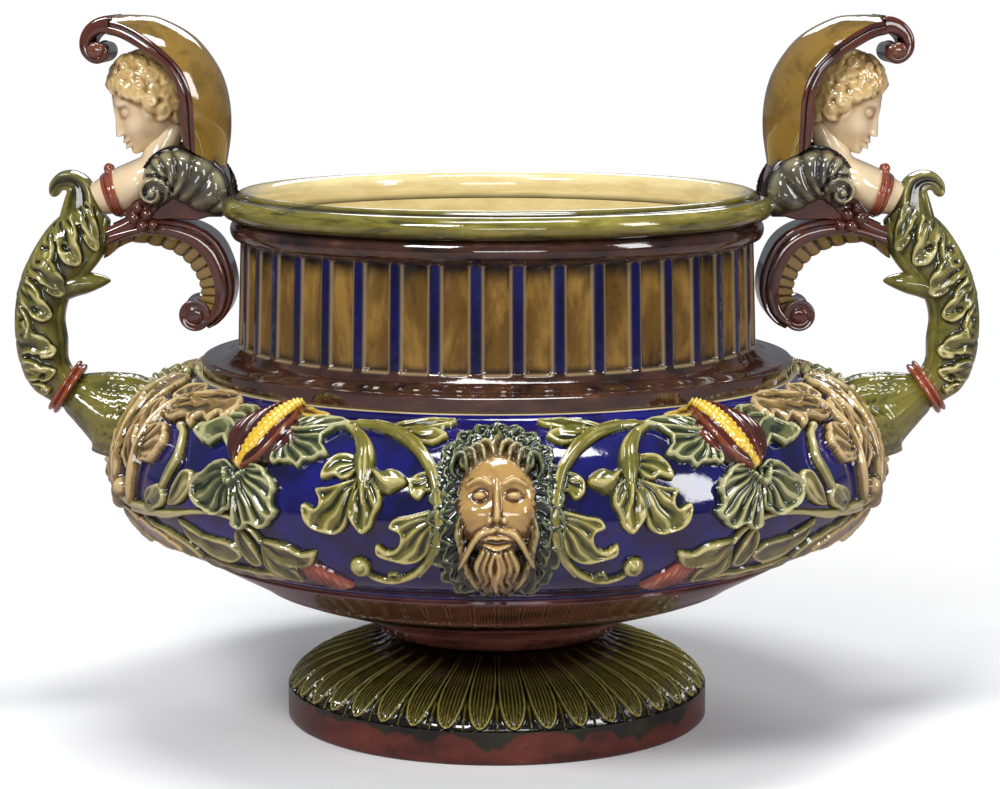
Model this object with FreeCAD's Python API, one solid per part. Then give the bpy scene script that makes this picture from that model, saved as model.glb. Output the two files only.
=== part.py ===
import FreeCAD, Part
import math
import os

# Two-handled jardiniere of glazed earthenware, thrown and cast in sections
# that are luted together: a petal foot, a round bowl, a fluted neck and a
# rolled rim, with two figure handles and relief ornament sprigged on.
# Millimetres. +Z up, the foot rests on Z = 0, the front mask faces -Y and
# the handles stand along +X and -X.

V = FreeCAD.Vector

# ---- foot ----
FOOT_R = 128.0            # plinth radius
PLINTH_H = 20.0           # plain band under the petals
FOOT_WALL = 14.0          # width of the resting ring
FOOT_ROOF = 11.0          # clay left over the hollow of the foot
SHOULDER_R = FOOT_R - 2.2  # round shoulder that carries the petal tips
PETALS = 40
PETAL_TOP_R = 66.0        # where the petals start
PETAL_TIP_R = 119.0       # where they end, on the plinth's shoulder
PETAL_TIP_Z = 30.5
PETAL_CUT = 2.6           # depth of the groove between two petals
GROOVE_TOP = 0.5          # half width of the groove where the petals start
GROOVE_LOW = 1.1          # and a tip's length above their ends
GROOVE_OPEN = 4.4         # past their ends, where it is a notch
PETAL_TIP = 9.0           # length of the round tip of a petal
JOINT_R = 56.0            # luting face between foot and bowl
JOINT_Z = 52.0
PETAL_TOP_Z = JOINT_Z - 2.0

# ---- bowl ----
WALL = 10.0
BELLY_R = 230.0           # greatest radius
BELLY_Z = 158.0           # height of the greatest radius
BELLY_UP_R = 50.0         # curve of the shoulder, in section
BELLY_LOW_R = 44.0        # curve of the underside, in section
COLLAR_R = 79.0           # round bead above the foot
COLLAR_Z = 62.0
COLLAR_SEAT_R = JOINT_R + 8.0
BAND_LOW_R = 147.0        # brown band under the belly
BAND_LOW_Z = 88.0
BAND_TOP_R = 181.0
BAND_TOP_Z = 106.5

# ---- neck ----
NECK_SEAT_R = 178.0       # plain brown band on the shoulder
NECK_SEAT_Z = BELLY_Z + BELLY_UP_R + 4.0
NECK_BAND_H = 9.5
NECK_TOP_R = 154.0        # over the fillets, just under the rim
NECK_R = NECK_TOP_R + 2.0  # over the fillets, at their foot
NECK_WALL = 9.0
FLUTES = 42
FLUTE_W = 16.6
FLUTE_DEEP = 3.4
FLUTE_FOOT = 18.0         # bottom of the flutes above the shoulder
FLUTE_H = 61.5
BEAD_R = NECK_TOP_R + 6.0  # small ring under the rim
BEAD_H = 5.0
NECK_H = 92.0

# ---- rim ----
RIM_SEAT_R = NECK_TOP_R + 4.0
RIM_SEAT_Z = NECK_SEAT_Z + NECK_H
RIM_R = NECK_TOP_R + 12.0  # green roll
RIM_H = 17.0
RIM_LIP_R = NECK_TOP_R + 1.0

# ---- handles ----
OVAL_POINTS = 16
SCROLL_W = 42.0           # width of the handle's lower scroll
CONSOLE_W = 38.0          # block between the two volutes
VOLUTE_W = 17.0
ARM_W = 37.0
HOOD_WALL = 6.0
EDGE_W = 8.5              # rolled brown edge of the hood
HEAD_W = 41.0
HEAD_TALL = 59.0
HEAD_LEAN = 3.0
HEAD_NOD = 0.12           # drop of the face per length, looking down
TIP_W = 22.0
RIBS = 13                 # grooves between the ribs inside the scroll
RIB_DEEP = 1.5
RIB_GAP = 1.8
RIB_MARGIN = 4.5          # plain edge beside them
RIB_TURN = (100.0, 188.0)  # where they start and end round the scroll's middle
RIB_REACH = (29.5, 27.5)
LOWER_RING = 7.0          # width of the ring at the foot of the arm
KNOT_RELIEF = 4.5
KNOT_TAPER = 0.45
CALYX_W = 66.0            # width of the arm's root where it meets the belly
CALYX_SEAT_R = BELLY_R - 28.0
RING_SWELL = 1.24         # how far the ring's roll stands out of the arm
RING_EDGE = 1.10
STRAP_RELIEF = 1.6
STRAP_SEAT = 0.1          # glaze between the torso and its strap

# ---- ornament ----
LEAF_RELIEF = 7.0
POD_RELIEF = 13.0
FLOWER_RELIEF = 9.0
FAN_RELIEF = 9.0
SPRAY_RELIEF = 6.0
MASK_SEAT = 2.0           # how far a mask's back reaches into the belly before it is cut

MOUTH_R = NECK_TOP_R - NECK_WALL


def outline(start, *steps):
    """Closed face in the XZ plane: a step is a point, or a middle and an end."""
    edges = []
    here = V(start[0], 0, start[1])
    first = here
    for step in steps:
        if isinstance(step[0], tuple):
            mid = V(step[0][0], 0, step[0][1])
            end = V(step[1][0], 0, step[1][1])
            edges.append(Part.Arc(here, mid, end).toShape())
        else:
            end = V(step[0], 0, step[1])
            edges.append(Part.makeLine(here, end))
        here = end
    if here.distanceToPoint(first) > 1e-6:
        edges.append(Part.makeLine(here, first))
    return Part.Face(Part.Wire(edges))


def turned(start, *steps):
    return outline(start, *steps).revolve(V(0, 0, 0), V(0, 0, 1), 360)


def slab(width, start, *steps):
    """An XZ outline made into a plate, centred on the handle's middle plane."""
    face = outline(start, *steps)
    face.translate(V(0, -width / 2, 0))
    return face.extrude(V(0, width, 0))


def polygon(points):
    return Part.makePolygon([V(*p) for p in points] + [V(*points[0])])


def rounded(points):
    curve = Part.BSplineCurve()
    curve.interpolate(Points=[V(*p) for p in points], PeriodicFlag=True)
    return Part.Wire([curve.toShape()])


def modelled(sections):
    """Smooth loft through rounded sections, for what is modelled by hand."""
    return Part.makeLoft([rounded(s) for s in sections], True, False)


def around(count, solid):
    step = 360.0 / count
    copies = []
    for i in range(count):
        one = solid.copy()
        one.rotate(V(0, 0, 0), V(0, 0, 1), step * i)
        copies.append(one)
    return copies


def cross(shape):
    """The same piece on the other side of the jardiniere."""
    return shape.mirror(V(0, 0, 0), V(1, 0, 0))


def to_back(shape):
    return shape.mirror(V(0, 0, 0), V(0, 1, 0))


def quarters(shape):
    """A sprig pressed from one mould, set four times around the belly."""
    pair = [shape, cross(shape)]
    return Part.makeCompound(pair + [to_back(s) for s in pair])


def save(shape, name):
    shape.exportStep(os.path.join("parts", name + ".step"))


# ---------------------------------------------------------------- foot
def foot():
    roof = JOINT_Z - FOOT_ROOF
    body = turned(
        (0, roof), (JOINT_R, roof), (FOOT_R - 2 * FOOT_WALL, PLINTH_H * 0.7),
        (FOOT_R - FOOT_WALL, 0), (FOOT_R, 0), (FOOT_R, PLINTH_H),
        ((SHOULDER_R, PLINTH_H + 6.0), (PETAL_TIP_R, PETAL_TIP_Z)),
        (PETAL_TOP_R, PETAL_TOP_Z), (JOINT_R, JOINT_Z), (0, JOINT_Z))
    return body.cut(around(PETALS, petal_groove()))


def petal_groove():
    """Narrow groove that opens to a notch between two petal tips."""
    fall = (PETAL_TOP_Z - PETAL_TIP_Z) / (PETAL_TIP_R - PETAL_TOP_R)
    plan = [(PETAL_TOP_R, GROOVE_TOP), (PETAL_TIP_R - PETAL_TIP, GROOVE_LOW),
            (PETAL_TIP_R + PETAL_TIP / 3, GROOVE_OPEN), (FOOT_R + 2.0, 2 * GROOVE_OPEN - 0.8)]
    low = []
    for r, half in plan:
        low.append((r, half, PETAL_TOP_Z - PETAL_CUT - fall * (r - PETAL_TOP_R)))
    ring = low + [(r, -h, z) for r, h, z in reversed(low)]
    face = Part.Face(polygon(ring))
    return face.extrude(V(0, 0, 4 * PETAL_CUT))


# ---------------------------------------------------------------- bowl
def belly_arc(radius, centre_r, angle):
    a = math.radians(angle)
    return (centre_r + radius * math.cos(a), BELLY_Z + radius * math.sin(a))


def belly_up(angle, out=0.0):
    """Point on the shoulder, angle 0 at the greatest radius."""
    return belly_arc(BELLY_UP_R + out, BELLY_R - BELLY_UP_R, angle)


def belly_low(angle, out=0.0):
    return belly_arc(BELLY_LOW_R + out, BELLY_R - BELLY_LOW_R, -angle)


def bowl_outside():
    """The bowl as a filled turned form, its seat faces at both ends."""
    return turned(
        (0, JOINT_Z), (JOINT_R, JOINT_Z),
        (COLLAR_SEAT_R, JOINT_Z), ((COLLAR_R - 6.0, JOINT_Z + 2.7), (COLLAR_R, COLLAR_Z)),
        (BAND_LOW_R - 3.0, BAND_LOW_Z - 2.5), (BAND_LOW_R, BAND_LOW_Z),
        (BAND_TOP_R, BAND_TOP_Z), belly_low(76),
        (belly_low(38), belly_low(0)), (belly_up(41), belly_up(82)),
        (NECK_SEAT_R + 3.0, NECK_SEAT_Z), (0, NECK_SEAT_Z))


def bowl():
    floor = COLLAR_Z + WALL * 0.4
    inside = turned(
        (0, floor), (COLLAR_R - WALL, floor),
        (BAND_LOW_R, BAND_LOW_Z + WALL * 1.2), belly_low(70, -WALL),
        belly_low(35, -WALL), belly_low(0, -WALL), belly_up(35, -WALL),
        belly_up(70, -WALL), (NECK_SEAT_R - 6.0, NECK_SEAT_Z - WALL),
        (MOUTH_R, NECK_SEAT_Z - WALL), (MOUTH_R, NECK_SEAT_Z + 1.0), (0, NECK_SEAT_Z + 1.0))
    return bowl_outside().cut(inside)


# ---------------------------------------------------------------- neck
def neck():
    top = RIM_SEAT_Z
    base = NECK_SEAT_Z + NECK_BAND_H
    flute_z = NECK_SEAT_Z + FLUTE_FOOT
    body = turned(
        (MOUTH_R, NECK_SEAT_Z), (NECK_SEAT_R, NECK_SEAT_Z), (NECK_SEAT_R, base),
        ((NECK_R + (NECK_SEAT_R - NECK_R) * 0.3, base + 2.6), (NECK_R, flute_z)),
        (NECK_TOP_R, flute_z + FLUTE_H), (RIM_SEAT_R + 0.5, flute_z + FLUTE_H + 3.5),
        ((BEAD_R, top - BEAD_H), (RIM_SEAT_R, top)), (MOUTH_R, top))
    half = FLUTE_W / 2
    near, far = V(NECK_R + 1.5, -half, flute_z), V(NECK_R + 1.5, half, flute_z)
    arc = Part.Arc(far, V(NECK_R - FLUTE_DEEP, 0, flute_z), near)
    channel = Part.Face(Part.Wire([arc.toShape(), Part.makeLine(near, far)]))
    channel = channel.extrude(V(NECK_TOP_R - NECK_R, 0, FLUTE_H))
    return body.cut(around(FLUTES, channel))


# ---------------------------------------------------------------- rim
def rim():
    z = RIM_SEAT_Z
    return turned(
        (MOUTH_R, z), (RIM_SEAT_R, z),
        ((RIM_R, z + RIM_H * 0.42), (RIM_LIP_R + 3.5, z + RIM_H * 0.82)),
        (RIM_LIP_R, z + RIM_H * 0.9), (RIM_LIP_R - 3.0, z + RIM_H),
        (MOUTH_R + 2.0, z + RIM_H - 1.5), (MOUTH_R, z + RIM_H - 5.0))


# ---------------------------------------------------------------- handles
# A handle is laid out from the rim roll: dx outwards from it, dz above its seat.
def at(dx, dz):
    return (RIM_R + dx, RIM_SEAT_Z + dz)


def section(low, high, half):
    """Oval across the handle, from its lower or inner edge to its upper or outer one."""
    cx, cz = (low[0] + high[0]) / 2, (low[1] + high[1]) / 2
    ax, az = (high[0] - low[0]) / 2, (high[1] - low[1]) / 2
    pts = []
    for i in range(OVAL_POINTS):
        turn = 2 * math.pi * i / OVAL_POINTS
        k = math.cos(turn)
        pts.append((cx + ax * k, half * math.sin(turn), cz + az * k))
    return pts


def scroll():
    """C-scroll under the figure: broad strap, coiled end, ribbed inside."""
    body = slab(
        SCROLL_W, at(66, -5), at(46, -2), at(30, 0),
        (at(2, -11), at(-8, -34)), (at(-8, -54), at(6, -65)),
        (at(21, -66), at(24, -56)), (at(18, -49), at(12, -55)),
        (at(11, -34), at(36, -17)), (at(54, -13), at(73, -26)))
    ribs = []
    wide = SCROLL_W - 2 * RIB_MARGIN
    centre = at(41, -45)
    for i in range(RIBS):
        turn = RIB_TURN[0] + (RIB_TURN[1] - RIB_TURN[0]) * i / (RIBS - 1)
        a = math.radians(turn)
        notch = Part.makeBox(2 * RIB_DEEP, wide, RIB_GAP, V(-RIB_DEEP, -wide / 2, -RIB_GAP / 2))
        notch.rotate(V(0, 0, 0), V(0, 1, 0), -turn)
        notch.translate(V(centre[0] + RIB_REACH[0] * math.cos(a), 0,
                          centre[1] + RIB_REACH[1] * math.sin(a)))
        ribs.append(notch)
    return body.cut(ribs)


def console():
    return slab(CONSOLE_W, at(-8, 2), at(-4, 30), at(16, 41), at(37, 34), at(47, 18),
                at(58, 3), at(46, -2), at(30, 0), at(12, -1), at(4, 2))


def volute():
    """Shell-like side volute whose tail spreads over the rim."""
    face = outline(
        at(-9, 3), (at(-4, 28), at(15, 43)), (at(42, 41), at(46, 16)),
        (at(40, 6), at(31, 12)), at(22, 8), at(6, 2))
    face.translate(V(0, -CONSOLE_W / 2 - VOLUTE_W, 0))
    return face.extrude(V(0, VOLUTE_W, 0))


HOOD_LINE = [   # ridge, edge and half width at stations up the back and over
    (at(-4, 31), at(12, 40), 26.0), (at(-7, 52), at(12, 56), 31.0),
    (at(-6, 72), at(13, 74), 33.0), (at(0, 90), at(19, 89), 33.0),
    (at(14, 108), at(31, 101), 32.0), (at(34, 119), at(44, 108), 29.0),
    (at(58, 121), at(59, 111), 24.0)]


def hood_frame(ridge, edge):
    """Depth of the hood at a station and the direction from its edge to its ridge."""
    depth = math.hypot(ridge[0] - edge[0], ridge[1] - edge[1])
    return depth, (ridge[0] - edge[0]) / depth, (ridge[1] - edge[1]) / depth


def hood_section(ridge, edge, half):
    """Crescent across the hood: the outer arc, the inner arc and two lips."""
    depth, ux, uz = hood_frame(ridge, edge)
    inner = depth - HOOD_WALL
    lip = half - HOOD_WALL
    deep = V(edge[0] + ux * inner, 0, edge[1] + uz * inner)
    left, right = V(edge[0], -half, edge[1]), V(edge[0], half, edge[1])
    in_left, in_right = V(edge[0], -lip, edge[1]), V(edge[0], lip, edge[1])
    return Part.Wire([
        Part.Arc(left, V(ridge[0], 0, ridge[1]), right).toShape(),
        Part.makeLine(right, in_right),
        Part.Arc(in_right, deep, in_left).toShape(),
        Part.makeLine(in_left, left)])


def hood():
    return Part.makeLoft([hood_section(*s) for s in HOOD_LINE], True, False)


def hood_edge():
    """Rolled edge down both sides of the hood, joined by the curl at its tip."""
    rail = []
    for ridge, edge, half in HOOD_LINE:
        _, ux, uz = hood_frame(ridge, edge)
        ox, oz = edge[0] - ux * EDGE_W, edge[1] - uz * EDGE_W
        rail.append(polygon([(edge[0], -half, edge[1]), (edge[0], HOOD_WALL - half, edge[1]),
                             (ox, HOOD_WALL - half, oz), (ox, -half, oz)]))
    side = Part.makeLoft(rail, True, False)
    ridge, edge, half = HOOD_LINE[-1]
    _, ux, uz = hood_frame(ridge, edge)
    low = (edge[0] - ux * EDGE_W, edge[1] - uz * EDGE_W)
    curl = slab(2 * half, ridge, (at(80, 112), at(77, 96)), (at(69, 91), at(64, 98)),
                (at(68, 104), at(70, 99)), (at(69, 107), low))
    return side.fuse([to_back(side), curl])


def head():
    """Egg of the head with its cap of curls, leaning out under the hood."""
    foot_x, foot_z = at(38, 44)
    rows = [(0.0, 10.0, 0.22), (0.10, 15.5, 0.50), (0.30, 20.0, 0.86), (0.55, 22.5, 1.0),
            (0.78, 20.5, 0.90), (0.93, 13.0, 0.60), (1.0, 6.0, 0.28)]
    out = []
    for share, reach, wide in rows:
        x = foot_x + HEAD_LEAN * math.sin(share * math.pi)
        z = foot_z + HEAD_TALL * share
        drop = reach * HEAD_NOD
        out.append(section((x - reach, z + drop), (x + reach, z - drop), HEAD_W / 2 * wide))
    return modelled(out)


BUST_LINE = [   # lower and upper edge of the torso, half width
    (at(69, 2), at(78, 20), 12.0), (at(56, 3), at(64, 29), 20.0),
    (at(42, 10), at(53, 34), 24.0), (at(32, 24), at(47, 37), 18.0),
    (at(31, 33), at(49, 39), 10.0), (at(32, 46), at(48, 46), 9.5)]


def bust(grow=0.0):
    rows = []
    for low, high, half in BUST_LINE:
        rows.append(section((low[0], low[1] - grow), (high[0], high[1] + grow), half + grow))
    return modelled(rows)


def strap():
    """Narrow dress strap round the torso."""
    (la, ha, wa), (lb, hb, wb) = BUST_LINE[0], BUST_LINE[1]
    band = []
    for t in (0.15, 0.55):
        low = (la[0] + (lb[0] - la[0]) * t, la[1] + (lb[1] - la[1]) * t - STRAP_RELIEF)
        high = (ha[0] + (hb[0] - ha[0]) * t, ha[1] + (hb[1] - ha[1]) * t + STRAP_RELIEF)
        band.append(section(low, high, wa + (wb - wa) * t + STRAP_RELIEF))
    return modelled(band).cut(bust(STRAP_SEAT))


KNOT_BEADS = [(38, -4, 4.2), (46, -3, 4.6), (50, 4, 4.4), (43, 5, 4.8)]   # place and radius


def knot():
    """Cluster of beads that binds the console to the scroll, on both sides."""
    beads = []
    for dx, dz, r in KNOT_BEADS:
        bead = Part.makeCone(r, r * KNOT_TAPER, KNOT_RELIEF)
        bead.rotate(V(0, 0, 0), V(1, 0, 0), 90)
        x, z = at(dx, dz)
        bead.translate(V(x, -SCROLL_W / 2, z))
        beads.append(bead)
    return beads[0].fuse(beads[1:])


ARM_LINE = [    # inner and outer edge, half width share
    (at(89, -89), at(105, -113), 0.93), (at(91, -83), at(117, -104), 1.0),
    (at(90.5, -72), at(125, -86), 1.0), (at(91.5, -60), at(127, -62), 1.0),
    (at(88, -48), at(124, -41), 0.98), (at(80, -39), at(118, -25), 0.95),
    (at(71, -29), at(106, -6), 0.92), (at(66, -20), at(92, 7), 0.85),
    (at(64, -5), at(82, 15), 0.72)]


def arm():
    """Leafy tail of the figure, curving down to the ring on the belly."""
    body = modelled([section(low, high, ARM_W / 2 * k) for low, high, k in ARM_LINE])
    thorn = slab(ARM_W * 0.45, at(66.5, -38.5), at(84, -33), at(93, -46), at(84, -41.5),
                 at(74, -39))
    return body.fuse(thorn)


def arm_tip():
    return slab(TIP_W, at(74, 9), at(76, 20), (at(86, 29), at(101, 19)), at(100, 14),
                (at(94, 15), at(93, 5)), at(98, -4), at(88, -2))


def past_arm(amount, grow):
    """The arm's last section, moved on along the arm and grown about its middle."""
    (low_x, low_z), (high_x, high_z), share = ARM_LINE[0]
    cx, cz = (low_x + high_x) / 2, (low_z + high_z) / 2
    ax, az = (high_x - low_x) / 2, (high_z - low_z) / 2
    length = math.hypot(ax, az)
    mx, mz = cx + az / length * amount, cz - ax / length * amount
    return section((mx - ax * grow, mz - az * grow), (mx + ax * grow, mz + az * grow),
                   ARM_W / 2 * share * grow)


def lower_ring():
    return modelled([past_arm(0, RING_EDGE), past_arm(LOWER_RING / 2, RING_SWELL),
                     past_arm(LOWER_RING, RING_EDGE)])


def calyx(belly):
    """Leafy root between the ring and the belly."""
    rows = [past_arm(LOWER_RING, 1.0),
            section((BELLY_R - 8.0, BELLY_Z + 52.0), (BELLY_R + 15.0, BELLY_Z + 3.0), CALYX_W * 0.38),
            section((CALYX_SEAT_R, BELLY_Z + 44.0), (CALYX_SEAT_R, BELLY_Z - 8.0), CALYX_W / 2)]
    return modelled(rows).cut(belly)


# ---------------------------------------------------------------- ornament
def skin(relief, inner=-4.0):
    """Faceted skin that follows the belly, for cutting sprigs from."""
    low = [belly_low(a, relief) for a in (92, 70, 47, 24, 0)]
    up = [belly_up(a, relief) for a in (24, 47, 70, 90)]
    back = [belly_up(a, inner) for a in (90, 45, 0)] + [belly_low(a, inner) for a in (45, 92)]
    return turned(*(low + up + back))


def window(points, middle):
    """Prism that looks in at the belly, at the azimuth of a sprig's middle.

    Each point is a length s round the belly and t up it from its widest line.
    """
    near = []
    for s, t in points:
        curve = BELLY_UP_R if t > 0 else BELLY_LOW_R
        r = BELLY_R - curve + curve * math.cos(t / curve)
        near.append((r * math.sin((s - middle) / BELLY_R), -BELLY_R / 2,
                     BELLY_Z + curve * math.sin(t / curve)))
    prism = Part.Face(polygon(near)).extrude(V(0, -BELLY_R, 0))
    prism.rotate(V(0, 0, 0), V(0, 0, 1), math.degrees(middle / BELLY_R))
    return prism


def blade(line):
    """Outline of a leaf or stem from its middle line of (s, t, half width)."""
    left, right = [], []
    for i, (s, t, half) in enumerate(line):
        s0, t0, _ = line[max(i - 1, 0)]
        s1, t1, _ = line[min(i + 1, len(line) - 1)]
        run = math.hypot(s1 - s0, t1 - t0)
        across = (-(t1 - t0) / run * half, (s1 - s0) / run * half)
        left.append((s + across[0], t + across[1]))
        right.append((s - across[0], t - across[1]))
    return left + right[::-1]


def sprig(belly, relief, blades):
    """Leaves and stems of one sprig, joined into one pressed relief."""
    reach = [point[0] for line in blades for point in line]
    middle = (min(reach) + max(reach)) / 2
    cuts = [window(blade(line), middle) for line in blades]
    whole = cuts[0].fuse(cuts[1:]) if len(cuts) > 1 else cuts[0]
    return whole.common(skin(relief)).cut(belly)


def belly_radius(dz):
    """Radius of the belly at a height above or below its widest line."""
    curve = BELLY_UP_R if dz > 0 else BELLY_LOW_R
    return BELLY_R - curve + math.sqrt(max(curve ** 2 - dz ** 2, 0))


def mask(belly, rows):
    """Relief mask with leafy hair, thickest along the nose."""
    out = []
    for dz, half, relief in rows:
        r = belly_radius(dz)
        side = math.sqrt((r - MASK_SEAT) ** 2 - half ** 2)
        z = BELLY_Z + dz
        left, right = V(-half, -side, z), V(half, -side, z)
        arc = Part.Arc(left, V(0, -r - relief, z), right).toShape()
        out.append(Part.Wire([arc, Part.makeLine(right, left)]))
    return Part.makeLoft(out, True, False).cut(belly)


# Middle lines of the sprigs' leaves: round the belly, up it, and half the width.
SCROLL_BLADES = [
    [(88, 60, 4), (60, 59, 4), (38, 44, 3.5), (29, 26, 3.5), (28, 6, 4), (33, -14, 4),
     (46, -30, 3.5), (60, -33, 3.5), (72, -28, 7), (80, -26, 4)],
    [(88, 60, 4), (70, 48, 4), (62, 32, 4), (60, 20, 5), (66, 10, 8), (80, -5, 2)],
    [(67, 43, 5), (56, 41, 8), (42, 29, 3)],
    [(62, 30, 4), (56, 20, 7), (62, -1, 2)],
    [(67, 38, 5), (78, 37, 9), (89, 25, 4)],
    [(61, 18, 6), (72, 14, 8), (92, 9, 8), (103, 14, 2)],
    [(29, 4, 4), (38, -2, 13), (52, -8, 12), (64, -3, 4)],
    [(42, 46, 3), (36, 32, 5), (42, 16, 4)],
    [(86, 60, 3), (60, 60, 8), (28, 57, 8)]]
POD_BLADES = [[(143, 78, 4), (146, 62, 16), (147, 46, 20), (149, 32, 16), (152, 22, 5)]]
FLOWER_BLADES = [
    [(154, 21, 5), (140, 16, 12), (124, 10, 16), (116, 6, 9)],
    [(153, 20, 6), (148, 6, 14), (146, -5, 10)],
    [(156, 20, 5), (164, 10, 8), (172, -2, 6)],
    [(158, 23, 4), (172, 35, 12), (190, 40, 14), (202, 38, 8)],
    [(89, 56, 6), (106, 58, 12), (126, 55, 10)],
    [(132, 30, 5), (118, 36, 7), (100, 43, 3)],
    [(126, 60, 4), (128, 40, 4), (136, 24, 4)],
    [(172, 20, 4), (190, 4, 4), (206, -6, 4)],
    [(203, -6, 4), (190, 4, 8), (192, 18, 4)]]
FAN_BLADES = [
    [(280, -8, 8), (262, 8, 9), (248, 30, 12), (236, 54, 14), (202, 70, 5)],
    [(268, 2, 5), (240, 12, 7), (223, 32, 4)],
    [(258, 18, 6), (262, 44, 12), (276, 68, 8)],
    [(284, -4, 8), (288, 18, 12), (300, 44, 13), (312, 62, 7)],
    [(290, -10, 8), (316, 4, 9), (338, 22, 8)],
    [(318, 10, 6), (334, 36, 12), (348, 66, 10)],
    [(284, -10, 6), (244, -10, 4), (212, -7, 4)],
    [(240, -9, 4), (222, 0, 7), (206, 12, 4)],
    [(290, -14, 5), (256, -20, 6), (222, -29, 3)]]
SPRAY_BLADES = [
    [(262, -15, 3), (214, -10, 3), (168, -4, 3), (138, -6, 3), (124, -13, 4)],
    [(130, -11, 3), (116, -13, 5), (96, -18, 2)],
    [(127, -10, 4), (122, -24, 7), (98, -32, 6), (89, -39, 3)],
    [(208, -8, 2), (184, -17, 6), (154, -26, 2)],
    [(250, -13, 3), (214, -24, 6), (182, -38, 5), (150, -45, 2.5), (122, -38, 2)]]

FACE_ROWS = [(-43.0, 6.0, 6.0), (-32.0, 22.0, 11.0), (-16.0, 32.0, 14.0), (2.0, 37.0, 17.0),
             (18.0, 38.0, 15.0), (36.0, 36.0, 13.0), (49.0, 27.0, 9.0)]
SIDE_ROWS = [(-42.0, 7.0, 5.0), (-24.0, 20.0, 8.0), (-6.0, 24.0, 10.0), (6.0, 20.0, 8.0)]


def build():
    os.makedirs("parts", exist_ok=True)
    belly = bowl_outside()
    rim_roll = rim()
    save(foot(), "foot")
    save(bowl(), "bowl")
    save(neck(), "neck")
    save(rim_roll, "rim")

    front = mask(belly, FACE_ROWS)
    save(front, "mask_front")
    save(to_back(front), "mask_back")
    side = mask(belly, SIDE_ROWS)
    side.rotate(V(0, 0, 0), V(0, 0, 1), 90)
    root = calyx(belly)
    side = side.cut(root).Solids[0]

    block = console().cut(rim_roll)
    shells = volute().cut(rim_roll)
    tail = arm()
    pair = [shells, to_back(shells)]
    torso = bust().cut([block, tail] + pair)
    lower = scroll().cut([block, tail])
    tip = arm_tip().cut([tail, torso])
    canopy = hood().cut([block, rim_roll] + pair)
    edge = hood_edge().cut(pair).cut(canopy)
    face = head().cut([torso, canopy, edge])
    beads = knot()
    right = {"console": block, "volute_front": shells, "volute_back": to_back(shells),
             "hood": canopy, "hood_edge": edge, "head": face, "bust": torso,
             "bust_strap": strap().cut([tail, tip]), "arm": tail, "arm_tip": tip,
             "scroll": lower, "knot": Part.makeCompound([beads, to_back(beads)]).cut(pair),
             "lower_ring": lower_ring(), "calyx": root, "side_mask": side}
    for name, shape in right.items():
        save(shape, name + "_right")
        save(cross(shape), name + "_left")

    pod = sprig(belly, POD_RELIEF, POD_BLADES)
    leaf = sprig(belly, LEAF_RELIEF, SCROLL_BLADES).cut(front)
    flower = sprig(belly, FLOWER_RELIEF, FLOWER_BLADES).cut([pod, leaf])
    fan = sprig(belly, FAN_RELIEF, FAN_BLADES).cut([flower, root, side])
    spray = sprig(belly, SPRAY_RELIEF, SPRAY_BLADES).cut([flower, fan, leaf])
    save(quarters(leaf), "scroll_leaves")
    save(quarters(pod), "pods")
    save(quarters(flower), "pod_leaves")
    save(quarters(fan), "fan_leaves")
    save(quarters(spray), "sprays")


build()
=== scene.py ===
import math

import bmesh
import bpy
import numpy as np
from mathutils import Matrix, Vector


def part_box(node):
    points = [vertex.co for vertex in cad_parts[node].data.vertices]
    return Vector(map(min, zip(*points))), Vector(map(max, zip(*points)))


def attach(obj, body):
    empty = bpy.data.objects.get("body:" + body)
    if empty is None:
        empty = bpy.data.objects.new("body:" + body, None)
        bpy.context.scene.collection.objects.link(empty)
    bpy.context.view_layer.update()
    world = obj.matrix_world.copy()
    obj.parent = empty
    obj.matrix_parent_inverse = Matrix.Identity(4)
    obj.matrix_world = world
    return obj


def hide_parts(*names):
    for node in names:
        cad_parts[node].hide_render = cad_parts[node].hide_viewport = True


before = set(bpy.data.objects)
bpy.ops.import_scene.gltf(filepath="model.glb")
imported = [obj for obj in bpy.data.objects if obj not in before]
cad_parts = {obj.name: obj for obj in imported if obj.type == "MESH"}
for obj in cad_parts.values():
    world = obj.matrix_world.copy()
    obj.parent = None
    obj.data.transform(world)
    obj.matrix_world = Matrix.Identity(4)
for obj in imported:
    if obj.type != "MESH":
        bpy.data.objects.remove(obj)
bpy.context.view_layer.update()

MM = 0.001

# ---- places taken from the frame, in metres ----
BOWL_LOW, BOWL_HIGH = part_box("bowl")
RIM_LOW, RIM_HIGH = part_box("rim")
FOOT_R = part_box("foot")[1].x
JOINT_Z = BOWL_LOW.z
BELLY_R = BOWL_HIGH.x
SHOULDER_Z = BOWL_HIGH.z
NECK_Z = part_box("neck")[0].z
RIM_Z = RIM_LOW.z
RIM_R = RIM_HIGH.x
SHOULDER_CURVE = 0.050      # radius of the shoulder in section
UNDER_CURVE = 0.044         # radius of the underside in section
BELLY_Z = SHOULDER_Z - SHOULDER_CURVE - 0.004
MOUTH_R = 0.145
NECK_R = 0.156
WALL = 0.0102               # of the bowl
FLUTES = 42
PETALS = 40
SIDES = {"right": 1, "left": -1}


# ================================================================ clay
def blurred(field, cells):
    """Field smoothed over a number of cells, both ways."""
    reach = int(cells * 2.5) + 1
    x = np.arange(-reach, reach + 1)
    kernel = np.exp(-0.5 * (x / cells) ** 2)
    kernel /= kernel.sum()
    out = field
    for axis in (0, 1):
        pad = [(reach, reach) if a == axis else (0, 0) for a in (0, 1)]
        wide = np.pad(out, pad, mode="edge")
        out = np.apply_along_axis(lambda row: np.convolve(row, kernel, "valid"), axis, wide)
    return out


def circle(around):
    """Angles round a full turn."""
    return np.linspace(0, 2 * math.pi, around, endpoint=False)


def eased(k):
    """Share from 0 to 1, slow at both ends."""
    return k * k * (3 - 2 * k)


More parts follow.
